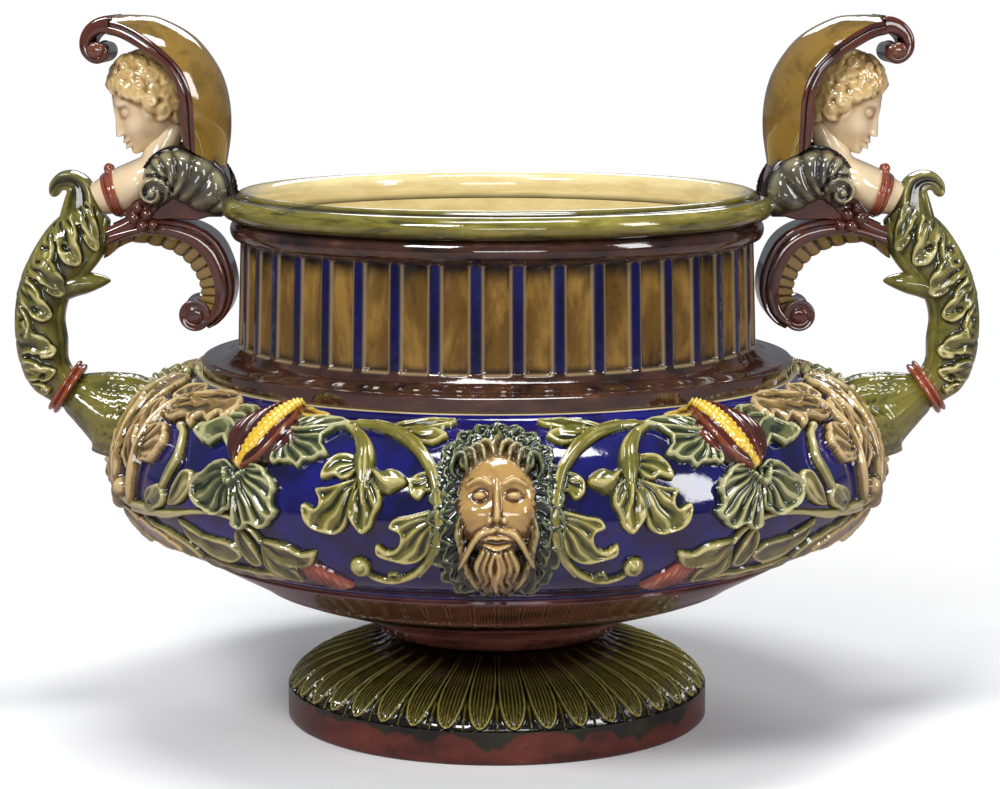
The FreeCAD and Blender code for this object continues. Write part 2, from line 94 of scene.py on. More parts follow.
def bend(points, steps=18):
    """Smooth run through a few rows of numbers (Catmull-Rom), as an array."""
    p = np.array(points, float)
    if len(p) == 2:
        k = np.linspace(0, 1, steps)[:, None]
        return p[0] * (1 - k) + p[1] * k
    ends = np.vstack([2 * p[0] - p[1], p, 2 * p[-1] - p[-2]])
    out = []
    per = max(3, steps // (len(p) - 1))
    for i in range(len(p) - 1):
        a, b, c, d = ends[i:i + 4]
        k = np.linspace(0, 1, per, endpoint=False)[:, None]
        out.append(0.5 * (2 * b + (c - a) * k + (2 * a - 5 * b + 4 * c - d) * k ** 2
                          + (3 * b - a - 3 * c + d) * k ** 3))
    return np.vstack(out + [p[-1:]])


def notched(line, notches, bite):
    """A closed line cut in by a number of rounded notches, shallow near its root."""
    ahead = np.gradient(line, axis=0)
    ahead /= np.maximum(np.hypot(ahead[:, 0], ahead[:, 1]), 1e-6)[:, None]
    area = (line[:-1, 0] * line[1:, 1] - line[1:, 0] * line[:-1, 1]).sum()
    inward = np.stack([-ahead[:, 1], ahead[:, 0]], 1) * np.sign(area)
    run = np.r_[0, np.cumsum(np.hypot(*np.diff(line, axis=0).T))]
    share = run / run[-1]
    wave = 1 - np.abs(np.sin(math.pi * (notches * share + 0.25 * np.sin(5 * share)))) ** 0.55
    fade = np.clip(np.minimum(share, 1 - share) * 9 - 0.6, 0, 1)
    return line + inward * (bite * wave * fade)[:, None]


class Clay:
    """Relief modelled on a flat board, in millimetres, before it is laid on the pot."""

    def __init__(self, s0, s1, t0, t1, pitch=0.8, ground=-1.2):
        self.pitch = pitch
        self.s, self.t = np.meshgrid(np.arange(s0, s1 + pitch, pitch), np.arange(t0, t1 + pitch, pitch))
        self.h = np.full(self.s.shape, float(ground))
        self.tone = np.zeros(self.s.shape)
        self.shade = np.zeros(self.s.shape)

    def window(self, line, reach):
        """The part of the board that lies within reach of a line."""
        low, high = line.min(0) - reach, line.max(0) + reach
        rows = np.nonzero((self.t[:, 0] >= low[1]) & (self.t[:, 0] <= high[1]))[0]
        cols = np.nonzero((self.s[0] >= low[0]) & (self.s[0] <= high[0]))[0]
        if not len(rows) or not len(cols):
            return None
        return slice(rows[0], rows[-1] + 1), slice(cols[0], cols[-1] + 1)

    def lay(self, win, new, covers, tone=0.0):
        """Adds a form where it stands higher than the clay, and marks what it covers."""
        hit = new > self.h[win]
        self.h[win] = np.where(hit, new, self.h[win])
        self.tone[win] = np.where(hit & covers, tone, self.tone[win])
        return hit

    def along(self, line, win):
        """For the cells of a window: share along the line, distance and side."""
        s, t = self.s[win][..., None], self.t[win][..., None]
        a, b = line[:-1], line[1:]
        d = b - a
        size = np.maximum((d ** 2).sum(1), 1e-9)
        k = np.clip(((s - a[:, 0]) * d[:, 0] + (t - a[:, 1]) * d[:, 1]) / size, 0, 1)
        ds = s - a[:, 0] - k * d[:, 0]
        dt = t - a[:, 1] - k * d[:, 1]
        dist = np.hypot(ds, dt)
        near = dist.argmin(-1)[..., None]
        lengths = np.r_[0, np.cumsum(np.sqrt(size))]
        share = (np.take_along_axis(k, near, -1)[..., 0] * np.sqrt(size)[near[..., 0]]
                 + lengths[near[..., 0]]) / lengths[-1]
        cross = (d[:, 0] * dt - d[:, 1] * ds)
        side = np.sign(np.take_along_axis(cross, near, -1)[..., 0])
        return share, np.take_along_axis(dist, near, -1)[..., 0], side

    def roll(self, points, width, height, tone=0.0, groove=0.0, power=0.6, steps=18):
        """Roll of clay along a line: widths and heights are spread evenly along it."""
        line = bend(points, steps)
        width, height = np.atleast_1d(width), np.atleast_1d(height)
        win = self.window(line, width.max() * 1.3 + 1)
        if win is None:
            return
        share, dist, _ = self.along(line, win)
        w = np.interp(share, np.linspace(0, 1, len(width)), width)
        tall = np.interp(share, np.linspace(0, 1, len(height)), height)
        x = dist / np.maximum(w, 0.05)
        dome = 1 - x ** 2
        up = np.where(dome > 0, np.abs(dome) ** power, np.maximum(dome * 1.2, -1.0))
        dies_out = np.sin(math.pi * np.clip(share * 0.94 + 0.06, 0, 1)) ** 0.4
        new = tall * up - groove * np.exp(-(dist / 0.9) ** 2) * (dome > 0) * dies_out
        self.lay(win, new, dome > 0, tone)

    def score(self, points, width, depth, steps=14):
        """Line cut into the clay with a tool."""
        line = bend(points, steps)
        win = self.window(line, width * 3)
        if win is None:
            return
        _, dist, _ = self.along(line, win)
        self.h[win] = self.h[win] - depth * np.exp(-(dist / width) ** 2) * (self.h[win] > 0)

    def dab(self, s, t, radius, height, tone=0.0, stretch=1.0, power=0.5):
        """Round button of clay."""
        x = np.hypot((self.s - s) / stretch, self.t - t) / radius
        dome = 1 - x ** 2
        new = np.where(dome > 0, height * np.abs(dome) ** power, -1.0)
        self.lay(..., new, dome > 0, tone)

    def curl(self, s, t, radius, height, turns=1.6, start=0.0, way=1, tone=0.0, width=0.42):
        """Spiral end of a scroll."""
        k = np.linspace(0, 1, 26)
        r = radius * (1 - 0.86 * k)
        a = start + way * turns * 2 * math.pi * k
        pts = np.c_[s + r * np.cos(a), t + r * np.sin(a)]
        self.roll(pts, [radius * width, radius * width * 0.7, radius * 0.3], [height * 0.8, height], tone,
            steps=52)

    def leaf(self, points, widths, height, teeth, bite=0.3, dish=0.35, ribs=0.0):
        """Blade of a leaf: raised edge, dished face, midrib and saw teeth towards the tip."""
        line = bend(points, 22)
        win = self.window(line, max(widths) * 1.1 + 1.5)
        if win is None:
            return
        share, dist, side = self.along(line, win)
        w = np.interp(share, np.linspace(0, 1, len(widths)), widths)
        saw = (share * teeth + 0.45 * (side > 0)) % 1.0
        w = w * (1 - bite * (1 - saw) ** 1.3 * np.clip(share * 5, 0, 1))
        w = np.maximum(w, 0.25)
        deep = w - dist
        tall = height * np.interp(share, [0, 0.25, 0.7, 1], [0.45, 1, 1, 0.7])
        rise = 1 - np.exp(-np.maximum(deep, 0) / 0.55)
        hollow = eased(np.clip((deep - 0.5) / np.maximum(0.42 * w, 0.6), 0, 1))
        midrib = np.exp(-(dist / (0.36 * w + 0.2)) ** 2)
        up = tall * rise * (1 - dish * hollow + dish * 0.75 * midrib)
        up += 0.55 * np.exp(-(dist / 0.7) ** 2) * np.interp(share, [0, 0.85, 1], [1, 0.7, 0])
        if ribs:
            length = np.hypot(*np.diff(line, axis=0).T).sum()
            wave = (share * length - 1.1 * dist) / ribs
            up -= 0.45 * np.exp(-(((wave % 1.0) - 0.5) / 0.16) ** 2) * hollow * (dist > 0.8)
        self.lay(win, np.where(deep > 0, up, np.maximum(deep * 1.4, -1.2)), deep > -0.4)

    def inside(self, line, win):
        """Which cells of a window lie inside a closed line."""
        s, t = self.s[win], self.t[win]
        odd = np.zeros(s.shape, bool)
        for (s0, t0), (s1, t1) in zip(line[:-1], line[1:]):
            if t0 != t1:
                odd ^= ((t0 > t) != (t1 > t)) & (s < (s1 - s0) * (t - t0) / (t1 - t0) + s0)
        return odd

    def fill(self, outline, height, edge):
        """Cushion inside a closed outline, rounded off over the length edge."""
        line = bend(outline + outline[:1], 8 * len(outline))
        win = self.window(line, 2)
        _, dist, _ = self.along(line, win)
        within = self.inside(line, win)
        new = np.where(within, height * (1 - np.exp(-dist / edge)), np.maximum(-dist * 1.4, -1.2))
        self.lay(win, new, new > -0.4)

    def lobe(self, outline, height, root, tone=0.0, notches=0, bite=1.3, dish=0.35, ribs=9,
             rib=0.55, edge=0.45):
        """Broad leaf inside a closed outline that starts at its root.

        Thin raised rim, dished face, ribs that fan out of the root, and notches in the outline.
        """
        line = bend(outline + outline[:1], 9 * len(outline))
        if notches:
            line = notched(line, notches, bite)
        win = self.window(line, 2)
        if win is None:
            return
        _, dist, _ = self.along(line, win)
        within = self.inside(line, win)
        ds, dt = self.s[win] - root[0], self.t[win] - root[1]
        r, turn = np.hypot(ds, dt), np.arctan2(dt, ds)
        inner = eased(np.clip((dist - 0.45) / 2.6, 0, 1))
        wave = 0.5 + 0.5 * np.cos(turn * ribs * 2 + 0.6 * np.sin(r * 0.35))
        grown = np.clip(r / 6, 0, 1)                   # ribs rise over the first 6 mm from the root
        face = height * (0.55 + 0.45 * np.clip(r / 14, 0, 1)) * (1 - np.exp(-dist / edge))
        face = face * (1 - dish * inner) + rib * (2 * wave ** 2 - 1) * inner * grown
        shade = 0.34 * (wave - 0.50) * inner * grown
        shade += 0.22 * (np.clip(r / np.max(np.where(within, r, 1)), 0, 1) - 0.56)
        new = np.where(within, face, np.maximum(-dist * 1.4, -1.2))
        hit = self.lay(win, new, new > -0.4, tone)
        self.shade[win] = np.where(hit & within, shade, self.shade[win])


# ================================================================ meshes
def new_piece(name, verts, faces, fields):
    """Object from points and faces, with a value at each point for each field."""
    mesh = bpy.data.meshes.new(name)
    mesh.from_pydata(verts.tolist(), [], faces)
    for key, values in fields.items():
        layer = mesh.attributes.new(key, "FLOAT", "POINT")
        layer.data.foreach_set("value", np.asarray(values, np.float32).ravel())
    piece = bpy.data.objects.new(name, mesh)
    bpy.context.scene.collection.objects.link(piece)
    mesh.validate()
    return piece


def grid_faces(rows, cols, keep=None, wrap=False):
    """Four-sided faces over a grid of points, or over those that are kept."""
    i, j = np.meshgrid(np.arange(rows - 1), np.arange(cols if wrap else cols - 1), indexing="ij")
    a, b = i * cols + j, i * cols + (j + 1) % cols
    quads = np.stack([a, b, b + cols, a + cols], -1).reshape(-1, 4)
    if keep is None:
        return quads
    return quads[keep.ravel()[quads].all(1)]


def relief_fields(clay, h, height):
    """How far each point stands out of, or lies in, the clay around it, with the lobes' painted shade
    added in.
    """
    up = np.maximum(h, 0)
    fine = up - blurred(up, 1.3 / clay.pitch)
    broad = up - blurred(up, 4.0 / clay.pitch)
    relief = 0.5 + 0.30 * fine + 0.035 * np.maximum(broad, 0) + 0.085 * np.minimum(broad, 0)
    # painted shade of the lobes: darker between their ribs and towards their root
    relief = np.clip(relief + clay.shade, 0, 1)
    return {"relief": relief, "tone": clay.tone, "rise": np.clip(up / height, 0, 1)}


def pressed(name, clay, place, height, flip=False, soft=0.45, back=-1.4):
    """Relief laid on the pot as a closed shell: its face, and a back inside the wall."""
    h = blurred(clay.h, soft / clay.pitch)
    fields = relief_fields(clay, h, height)
    near = h > -0.9
    keep = near.copy()
    for shift in ((0, 1), (0, -1), (1, 0), (-1, 0)):
        keep |= np.roll(near, shift, (0, 1))
    rows, cols = h.shape
    quads = grid_faces(rows, cols, keep)
    used = np.unique(quads)
    number = np.full(rows * cols, -1)
    number[used] = np.arange(len(used))
    quads = number[quads]
    front = place(clay.s, clay.t, h).reshape(-1, 3)[used]
    rear = place(clay.s, clay.t, np.full(h.shape, back)).reshape(-1, 3)[used]
    n = len(used)
    edges = np.concatenate([quads[:, [k, (k + 1) % 4]] for k in range(4)])
    code = edges[:, 0].astype(np.int64) * n + edges[:, 1]
    other = edges[:, 1].astype(np.int64) * n + edges[:, 0]
    rim = edges[~np.isin(code, other)]
    wall = np.stack([rim[:, 1], rim[:, 0], rim[:, 0] + n, rim[:, 1] + n], 1)
    faces = np.concatenate([quads, quads[:, ::-1] + n, wall])
    if flip:
        faces = faces[:, ::-1]
    doubled = {k: np.tile(v.reshape(-1)[used], 2) for k, v in fields.items()}
    piece = new_piece(name, np.concatenate([front, rear]), faces.tolist(), doubled)
    smooth(piece, 75)
    return piece


def smooth(piece, angle):
    """Smooth shading, with edges sharper than the angle kept crisp."""
    bpy.ops.object.select_all(action="DESELECT")
    piece.select_set(True)
    bpy.context.view_layer.objects.active = piece
    bpy.ops.object.shade_smooth_by_angle(angle=math.radians(angle))


def outward(piece):
    """Doubles merged and faces turned outwards."""
    bm = bmesh.new()
    bm.from_mesh(piece.data)
    bmesh.ops.remove_doubles(bm, verts=bm.verts, dist=1e-6)
    bmesh.ops.recalc_face_normals(bm, faces=bm.faces)
    bm.to_mesh(piece.data)
    bm.free()


def dress(piece, material, slot, *nodes):
    """Gives a finished piece its glaze and its place on the pot."""
    piece.data.materials.clear()
    piece.data.materials.append(material)
    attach(piece, "root")
    if nodes:
        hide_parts(*nodes)
    return piece


def thrown(name, profile, around):
    """Form thrown on the wheel: a ring drawn up through a (radius, height) profile.

    A profile that starts on the axis ends on it too; any other is closed into a ring.
    """
    bpy.ops.object.select_all(action="DESELECT")
    r, z = profile[0]
    bpy.ops.mesh.primitive_circle_add(vertices=around, radius=r, location=(0, 0, z))
    piece = bpy.context.object
    piece.name = piece.data.name = name
    bpy.ops.object.transform_apply(location=True, rotation=True, scale=True)
    bpy.ops.object.mode_set(mode="EDIT")
    bpy.ops.mesh.select_all(action="SELECT")
    for r2, z2 in profile[1:]:
        bpy.ops.mesh.extrude_edges_move()
        bpy.ops.transform.translate(value=(0, 0, z2 - z))
        bpy.ops.transform.resize(value=(r2 / r, r2 / r, 1), center_override=(0, 0, z2))
        r, z = r2, z2
    if profile[0][0] > 0.001:
        bpy.ops.mesh.select_all(action="DESELECT")
        bpy.ops.mesh.select_non_manifold()
        bpy.ops.mesh.bridge_edge_loops()
    bpy.ops.mesh.select_all(action="SELECT")
    bpy.ops.mesh.remove_doubles(threshold=1e-5)
    bpy.ops.mesh.normals_make_consistent(inside=False)
    bpy.ops.object.mode_set(mode="OBJECT")
    return piece


def arc(cx, cz, radius, start, end, count):
    """Points on an arc of the profile, angles in degrees from outwards to up."""
    a = np.radians(np.linspace(start, end, count))
    return [(cx + radius * math.cos(k), cz + radius * math.sin(k)) for k in a]


def points_of(piece):
    co = np.zeros(len(piece.data.vertices) * 3)
    piece.data.vertices.foreach_get("co", co)
    return co.reshape(-1, 3)


def set_points(piece, co):
    piece.data.vertices.foreach_set("co", np.asarray(co, float).ravel())
    piece.data.update()


def add_field(piece, name, values):
    layer = piece.data.attributes.get(name) or piece.data.attributes.new(name, "FLOAT", "POINT")
    layer.data.foreach_set("value", np.asarray(values, np.float32))


# ================================================================ glazes
BLACK, WHITE = (0, 0, 0), (1, 1, 1)
STRAW = [(0.30, (0.70, 0.56, 0.26)), (0.70, (0.86, 0.72, 0.38))]     # the lining of the pot


class Nodes:
    """Small helper that wires a material's node tree."""

    def __init__(self, name):
        self.material = bpy.data.materials.new(name)
        self.material.use_nodes = True
        self.tree = self.material.node_tree
        self.tree.nodes.clear()
        self.out = self.add("OutputMaterial")
        self.shader = self.add("BsdfPrincipled")
        self.link(self.shader, "BSDF", self.out, "Surface")
        self.place = self.add("TexCoord")

    def add(self, kind):
        return self.tree.nodes.new("ShaderNode" + kind)

    def link(self, a, out, b, into):
        self.tree.links.new(a.outputs[out], b.inputs[into])

    def noise(self, scale, detail=4.0, rough=0.55, stretch=(1, 1, 1), distort=0.0):
        where = self.add("Mapping")
        where.inputs["Scale"].default_value = stretch
        self.link(self.place, "Object", where, "Vector")
        node = self.add("TexNoise")
        node.inputs["Scale"].default_value = scale
        node.inputs["Detail"].default_value = detail
        node.inputs["Roughness"].default_value = rough
        node.inputs["Distortion"].default_value = distort
        self.link(where, "Vector", node, "Vector")
        return node

    def field(self, name):
        node = self.add("Attribute")
        node.attribute_name = name
        return node

    def ramp(self, source, out, stops, smooth=True):
        node = self.add("ValToRGB")
        if smooth:
            node.color_ramp.interpolation = "EASE"
        while len(node.color_ramp.elements) < len(stops):
            node.color_ramp.elements.new(0.5)
        for element, (at, colour) in zip(node.color_ramp.elements, stops):
            element.position = at
            element.color = (*colour, 1)
        self.link(source, out, node, "Fac")
        return node

    def mask(self, source, out, low, high, smooth=True):
        """Black below low, white above high."""
        return self.ramp(source, out, [(low, BLACK), (high, WHITE)], smooth)

    def shown(self, node):
        """Which output of a node is its colour."""
        return 2 if node.bl_idname == "ShaderNodeMix" else 0

    def mix(self, fac, fac_out, a, b):
        """From a to b, each a node or a plain colour."""
        node = self.add("Mix")
        node.data_type = "RGBA"
        self.link(fac, fac_out, node, 0)
        for socket, value in ((6, a), (7, b)):
            if isinstance(value, tuple):
                node.inputs[socket].default_value = (*value, 1)
            else:
                self.link(value, self.shown(value), node, socket)
        return node

    def darkened(self, colour, dark, clear_at=1.0):
        """Colour that darkens where the shade field falls below clear_at."""
        veil = self.ramp(self.field("shade"), "Fac", [(0.0, dark), (clear_at, WHITE)])
        node = self.add("Mix")
        node.data_type = "RGBA"
        node.blend_type = "MULTIPLY"
        node.inputs[0].default_value = 1.0
        self.link(colour, self.shown(colour), node, 6)
        self.link(veil, 0, node, 7)
        return node

    def sum(self, a, a_out, b, b_out, weight=1.0, base=0.0):
        """a + weight * b + base, kept between 0 and 1."""
        times = self.add("Math")
        times.operation = "MULTIPLY_ADD"
        self.link(b, b_out, times, 0)
        times.inputs[1].default_value = weight
        times.inputs[2].default_value = base
        plus = self.add("Math")
        plus.operation = "ADD"
        plus.use_clamp = True
        self.link(a, a_out, plus, 0)
        self.link(times, 0, plus, 1)
        return plus

    def finish(self, colour, gloss, bump):
        """Colour under a clear gloss with soft dips and a fine grain."""
        self.link(colour, self.shown(colour), self.shader, "Base Color")
        cloudy = self.noise(38, 3)
        rough = self.add("MapRange")
        rough.inputs["To Min"].default_value = gloss * 0.6
        rough.inputs["To Max"].default_value = gloss * 1.8
        self.link(cloudy, "Fac", rough, "Value")
        self.link(rough, "Result", self.shader, "Roughness")
        swell = self.noise(140, 2, 0.4)
        fine = self.noise(900, 2, 0.5)
        both = self.sum(swell, "Fac", fine, "Fac", 0.12)
        node = self.add("Bump")
        node.inputs["Strength"].default_value = bump
        node.inputs["Distance"].default_value = 0.0011
        self.link(both, 0, node, "Height")
        self.link(node, "Normal", self.shader, "Normal")
        self.shader.inputs["Coat Weight"].default_value = 0.6
        self.shader.inputs["Coat Roughness"].default_value = 0.03
        self.shader.inputs["IOR"].default_value = 1.55
        return self.material

    def lined(self, colour, cloud):
        """Colour outside, and straw glaze where the inside field is 1."""
        straw = self.ramp(cloud, "Fac", STRAW)
        return self.finish(self.mix(self.field("inside"), "Fac", colour, straw), 0.06, 0.14)


def relief_glaze(name, deep, body, edge, mottle, other=None, gloss=0.07, bump=0.22):
    """Glaze that pools dark in the hollows and runs thin and pale over the edges.

    other is a second (deep, body, edge) for where the clay's tone is 1.
    """
    n = Nodes(name)
    wander = n.noise(120, 4, 0.6)
    relief = n.sum(n.field("relief"), "Fac", wander, "Fac", 0.22, -0.11)
    relief = n.sum(relief, 0, n.noise(38, 3, 0.5), "Fac", 0.46, -0.23)

    def coat(low, mid, high):
        return n.ramp(relief, 0, [(0.24, low), (0.46, mid), (0.60, mid), (0.84, high)])

    patches = n.mask(n.noise(42, 5, 0.6, distort=0.6), "Fac", 0.45, 0.66)
    patchy = coat(tuple(k * 0.5 for k in mottle), mottle, edge)
    colour = n.mix(patches, 0, coat(deep, body, edge), patchy)
    if other:
        colour = n.mix(n.field("tone"), "Fac", colour, coat(*other))
    return n.finish(colour, gloss, bump)


def belly_glaze():
    """Cobalt ground that meets the brown band in an uneven line."""
    n = Nodes("cobalt_glaze")
    cloud = n.noise(26, 5, 0.6, distort=0.5)
    blue = n.ramp(cloud, "Fac", [(0.30, (0.003, 0.002, 0.034)), (0.66, (0.006, 0.006, 0.135))])
    streak = n.noise(34, 4, 0.6, (1, 1, 4))
    brown = n.ramp(streak, "Fac", [(0.30, (0.058, 0.018, 0.013)), (0.55, (0.155, 0.050, 0.038)),
        (0.75, (0.235, 0.092, 0.066))])
    # painted shade: the recess under the band, dark brown glaze painted almost black
    recess_shade = n.ramp(streak, "Fac", [(0.35, (0.007, 0.005, 0.003)), (0.70, (0.030, 0.018, 0.008))])
    # zones from the joint up: brown collar, recess with its dark brown painted almost black as shade,
    # brown band, cobalt
    zone = n.sum(n.field("zone"), "Fac", n.noise(60, 3), "Fac", 0.020, -0.010)
    upper = n.mix(n.mask(zone, 0, 0.490, 0.500, smooth=False), 0, brown, blue)
    lower = n.mix(n.mask(zone, 0, 0.120, 0.130, smooth=False), 0, brown, recess_shade)
    colour = n.mix(n.mask(zone, 0, 0.245, 0.252, smooth=False), 0, lower, upper)
    return n.lined(colour, cloud)


def flute_glaze():
    """Brown bands and ring, golden channels, cobalt fillets, pale where an edge breaks."""
    n = Nodes("flute_glaze")
    streak = n.noise(46, 5, 0.62, (1, 1, 0.35), 0.3)
    gold = n.ramp(streak, "Fac", [(0.28, (0.022, 0.012, 0.004)), (0.46, (0.135, 0.070, 0.012)),
        (0.64, (0.290, 0.165, 0.034)), (0.80, (0.420, 0.270, 0.080))])
    gold = n.darkened(gold, (0.05, 0.03, 0.025), 0.70)
    blue = n.ramp(streak, "Fac", [(0.32, (0.002, 0.002, 0.020)), (0.70, (0.005, 0.007, 0.085))])
    cloud = n.noise(40, 4, 0.6, (1, 1, 3))
    brown = n.ramp(cloud, "Fac", [(0.32, (0.012, 0.005, 0.004)), (0.54, (0.048, 0.017, 0.010)),
        (0.78, (0.130, 0.052, 0.026))])
    colour = n.mix(n.field("fillet"), "Fac", gold, blue)
    band = n.sum(n.field("band"), "Fac", n.noise(150, 3), "Fac", 0.30, -0.15)
    colour = n.mix(n.mask(band, 0, 0.42, 0.58), 0, colour, brown)
    return n.lined(n.mix(n.field("pale"), "Fac", colour, (0.56, 0.42, 0.22)), cloud)


def rim_glaze():
    """Streaked olive, dark in the groove, straw on the inner lip."""
    n = Nodes("rim_glaze")
    streak = n.noise(30, 5, 0.6, (1, 1, 6), 0.6)
    green = n.ramp(streak, "Fac", [(0.30, (0.050, 0.045, 0.008)), (0.50, (0.165, 0.145, 0.022)),
        (0.74, (0.330, 0.280, 0.060))])
    return n.lined(n.darkened(green, (0.12, 0.10, 0.08)), streak)


def petal_glaze():
    """Olive petals with pale lines, over a red-brown plinth that the green has run down."""
    n = Nodes("petal_glaze")
    wander = n.noise(160, 4, 0.6)
    lines = n.sum(n.field("relief"), "Fac", wander, "Fac", 0.24, -0.12)
    petals = n.ramp(lines, 0, [(0.12, (0.006, 0.005, 0.002)), (0.38, (0.050, 0.043, 0.008)),
        (0.58, (0.190, 0.160, 0.030)), (0.84, (0.470, 0.410, 0.130))])
    petals = n.darkened(petals, (0.16, 0.10, 0.09))
    cloud = n.noise(30, 5, 0.6, (1, 1, 2))
    brown = n.ramp(cloud, "Fac", [(0.30, (0.046, 0.009, 0.005)), (0.60, (0.120, 0.024, 0.014)),
        (0.80, (0.200, 0.056, 0.030))])
    run = n.noise(26, 3, 0.55, (1, 1, 0.10))
    drip = n.sum(n.field("down"), "Fac", run, "Fac", 2.2, -1.1)
    end_shade = n.ramp(cloud, "Fac", [(0.34, (0.004, 0.005, 0.003)), (0.70, (0.026, 0.027, 0.010))])
    plinth = n.mix(n.mask(drip, 0, 0.44, 0.56), 0, brown, end_shade)
    return n.finish(n.mix(n.field("plinth"), "Fac", petals, plinth), 0.08, 0.2)


# ================================================================ foot, bowl, neck, rim
PETAL_LINE = [(0.066, JOINT_Z - 0.002), (0.080, 0.0464), (0.093, 0.0427), (0.105, 0.0387),
    (0.113, 0.0350), (0.119, 0.0312), (0.1232, 0.0276), (0.1257, 0.0245), (0.1270, 0.0222),
    (0.1275, 0.0207)]


def wheel(piece):
    """Radius, height and azimuth of a thrown piece's points."""
    co = points_of(piece)
    return co, np.hypot(co[:, 0], co[:, 1]), co[:, 2], np.arctan2(co[:, 0], -co[:, 1])


def make_foot():
    """Plinth and a ring of pointed petals that rise to the joint."""
    petals = bend(PETAL_LINE, 63)
    profile = [(1e-6, 0.0415), (0.052, 0.0415), (0.057, 0.040), (0.100, 0.014), (0.113, 0.0006),
        (0.115, 0), (0.1265, 0), (FOOT_R, 0.0015), (FOOT_R, 0.0062), (FOOT_R, 0.0112), (FOOT_R, 0.016),
        (FOOT_R, 0.0185), (0.12795, 0.0197)]
    profile += [tuple(q) for q in petals[::-1]]
    profile += [(0.061, JOINT_Z - 0.0006), (0.056, JOINT_Z), (1e-6, JOINT_Z)]
    piece = thrown("foot_petals", profile, PETALS * 24)
    co, r, z, phi = wheel(piece)
    steps = np.hypot(*np.diff(petals, axis=0).T)
    run = np.r_[0, np.cumsum(steps)] / steps.sum()
    below = np.interp(r, [0.057, 0.100, 0.113], [0.040, 0.014, 0.0006])
    upper = (z > 0.0203) & (r > 0.0655) & (z > below + 0.004)
    v = np.interp(r, petals[:, 0], run)
    slope = np.gradient(petals[:, 1], petals[:, 0])
    tilt = np.arctan(-np.interp(r, petals[:, 0], slope))
    u = ((phi * PETALS / (2 * math.pi)) % 1.0 - 0.5) * 2       # -1 to 1 across a petal
    side = np.abs(u)
    k = np.clip((v - 0.66) / 0.335, 0, 1)
    wide = (0.90 + 0.05 * np.sin((v - 0.1) * 6)) * np.sqrt(np.maximum(1 - k ** 2.1, 0))
    x = side / np.maximum(wide, 0.02)                          # 0 on the midrib, 1 on the edge
    inside = (x < 1) & (v < 0.996)
    edge = np.exp(-((side - wide + 0.09) / 0.085) ** 2) * (v < 0.998)
    rib = (0.5 + 0.5 * np.cos(2 * math.pi * x * 3.5)) ** 2
    rib = rib * np.clip((0.76 - x) / 0.08, 0, 1) * np.clip((v - 0.12) * 6, 0, 1)
    near = 1 - side
    dart = np.exp(-(near / np.maximum(0.50 * (1.02 - v), 0.012)) ** 2) * np.clip((v - 0.62) * 6, 0, 1)
    # millimetres below the skin: 1.7 on a petal's face, 2.7 in the gap between two
    h = np.where(inside, -1.7 + 1.5 * edge + 0.55 * rib + 0.5 * (1 - x ** 2), -2.7 + 1.9 * dart)
    h = np.maximum(h, -2.7 + 2.6 * edge)
    h = np.where(upper, np.minimum(h * np.clip(v * 9, 0, 1), -0.05), 0)
    out = h * MM * np.sin(tilt)
    co[:, 0] += out * np.sin(phi)
    co[:, 1] -= out * np.cos(phi)
    co[:, 2] += h * MM * np.cos(tilt)
    set_points(piece, co)
    lines = np.where(inside, 0.26 + 0.30 * edge + 0.42 * rib, 0.06 + 0.60 * dart)
    lines = np.maximum(lines, 0.92 * edge)
    add_field(piece, "relief", np.where(upper, lines, 0.15))
    add_field(piece, "shade", np.clip((v - 0.05) * 2.2, 0, 1))
    add_field(piece, "plinth", (~upper & (r > 0.09)).astype(float))
    add_field(piece, "down", np.interp(z, [0.003, 0.011, 0.0178, 0.0207], [0.0, 0.24, 0.50, 1.0]))
    smooth(piece, 60)
    dress(piece, petal_glaze(), "petal_glaze", "foot")


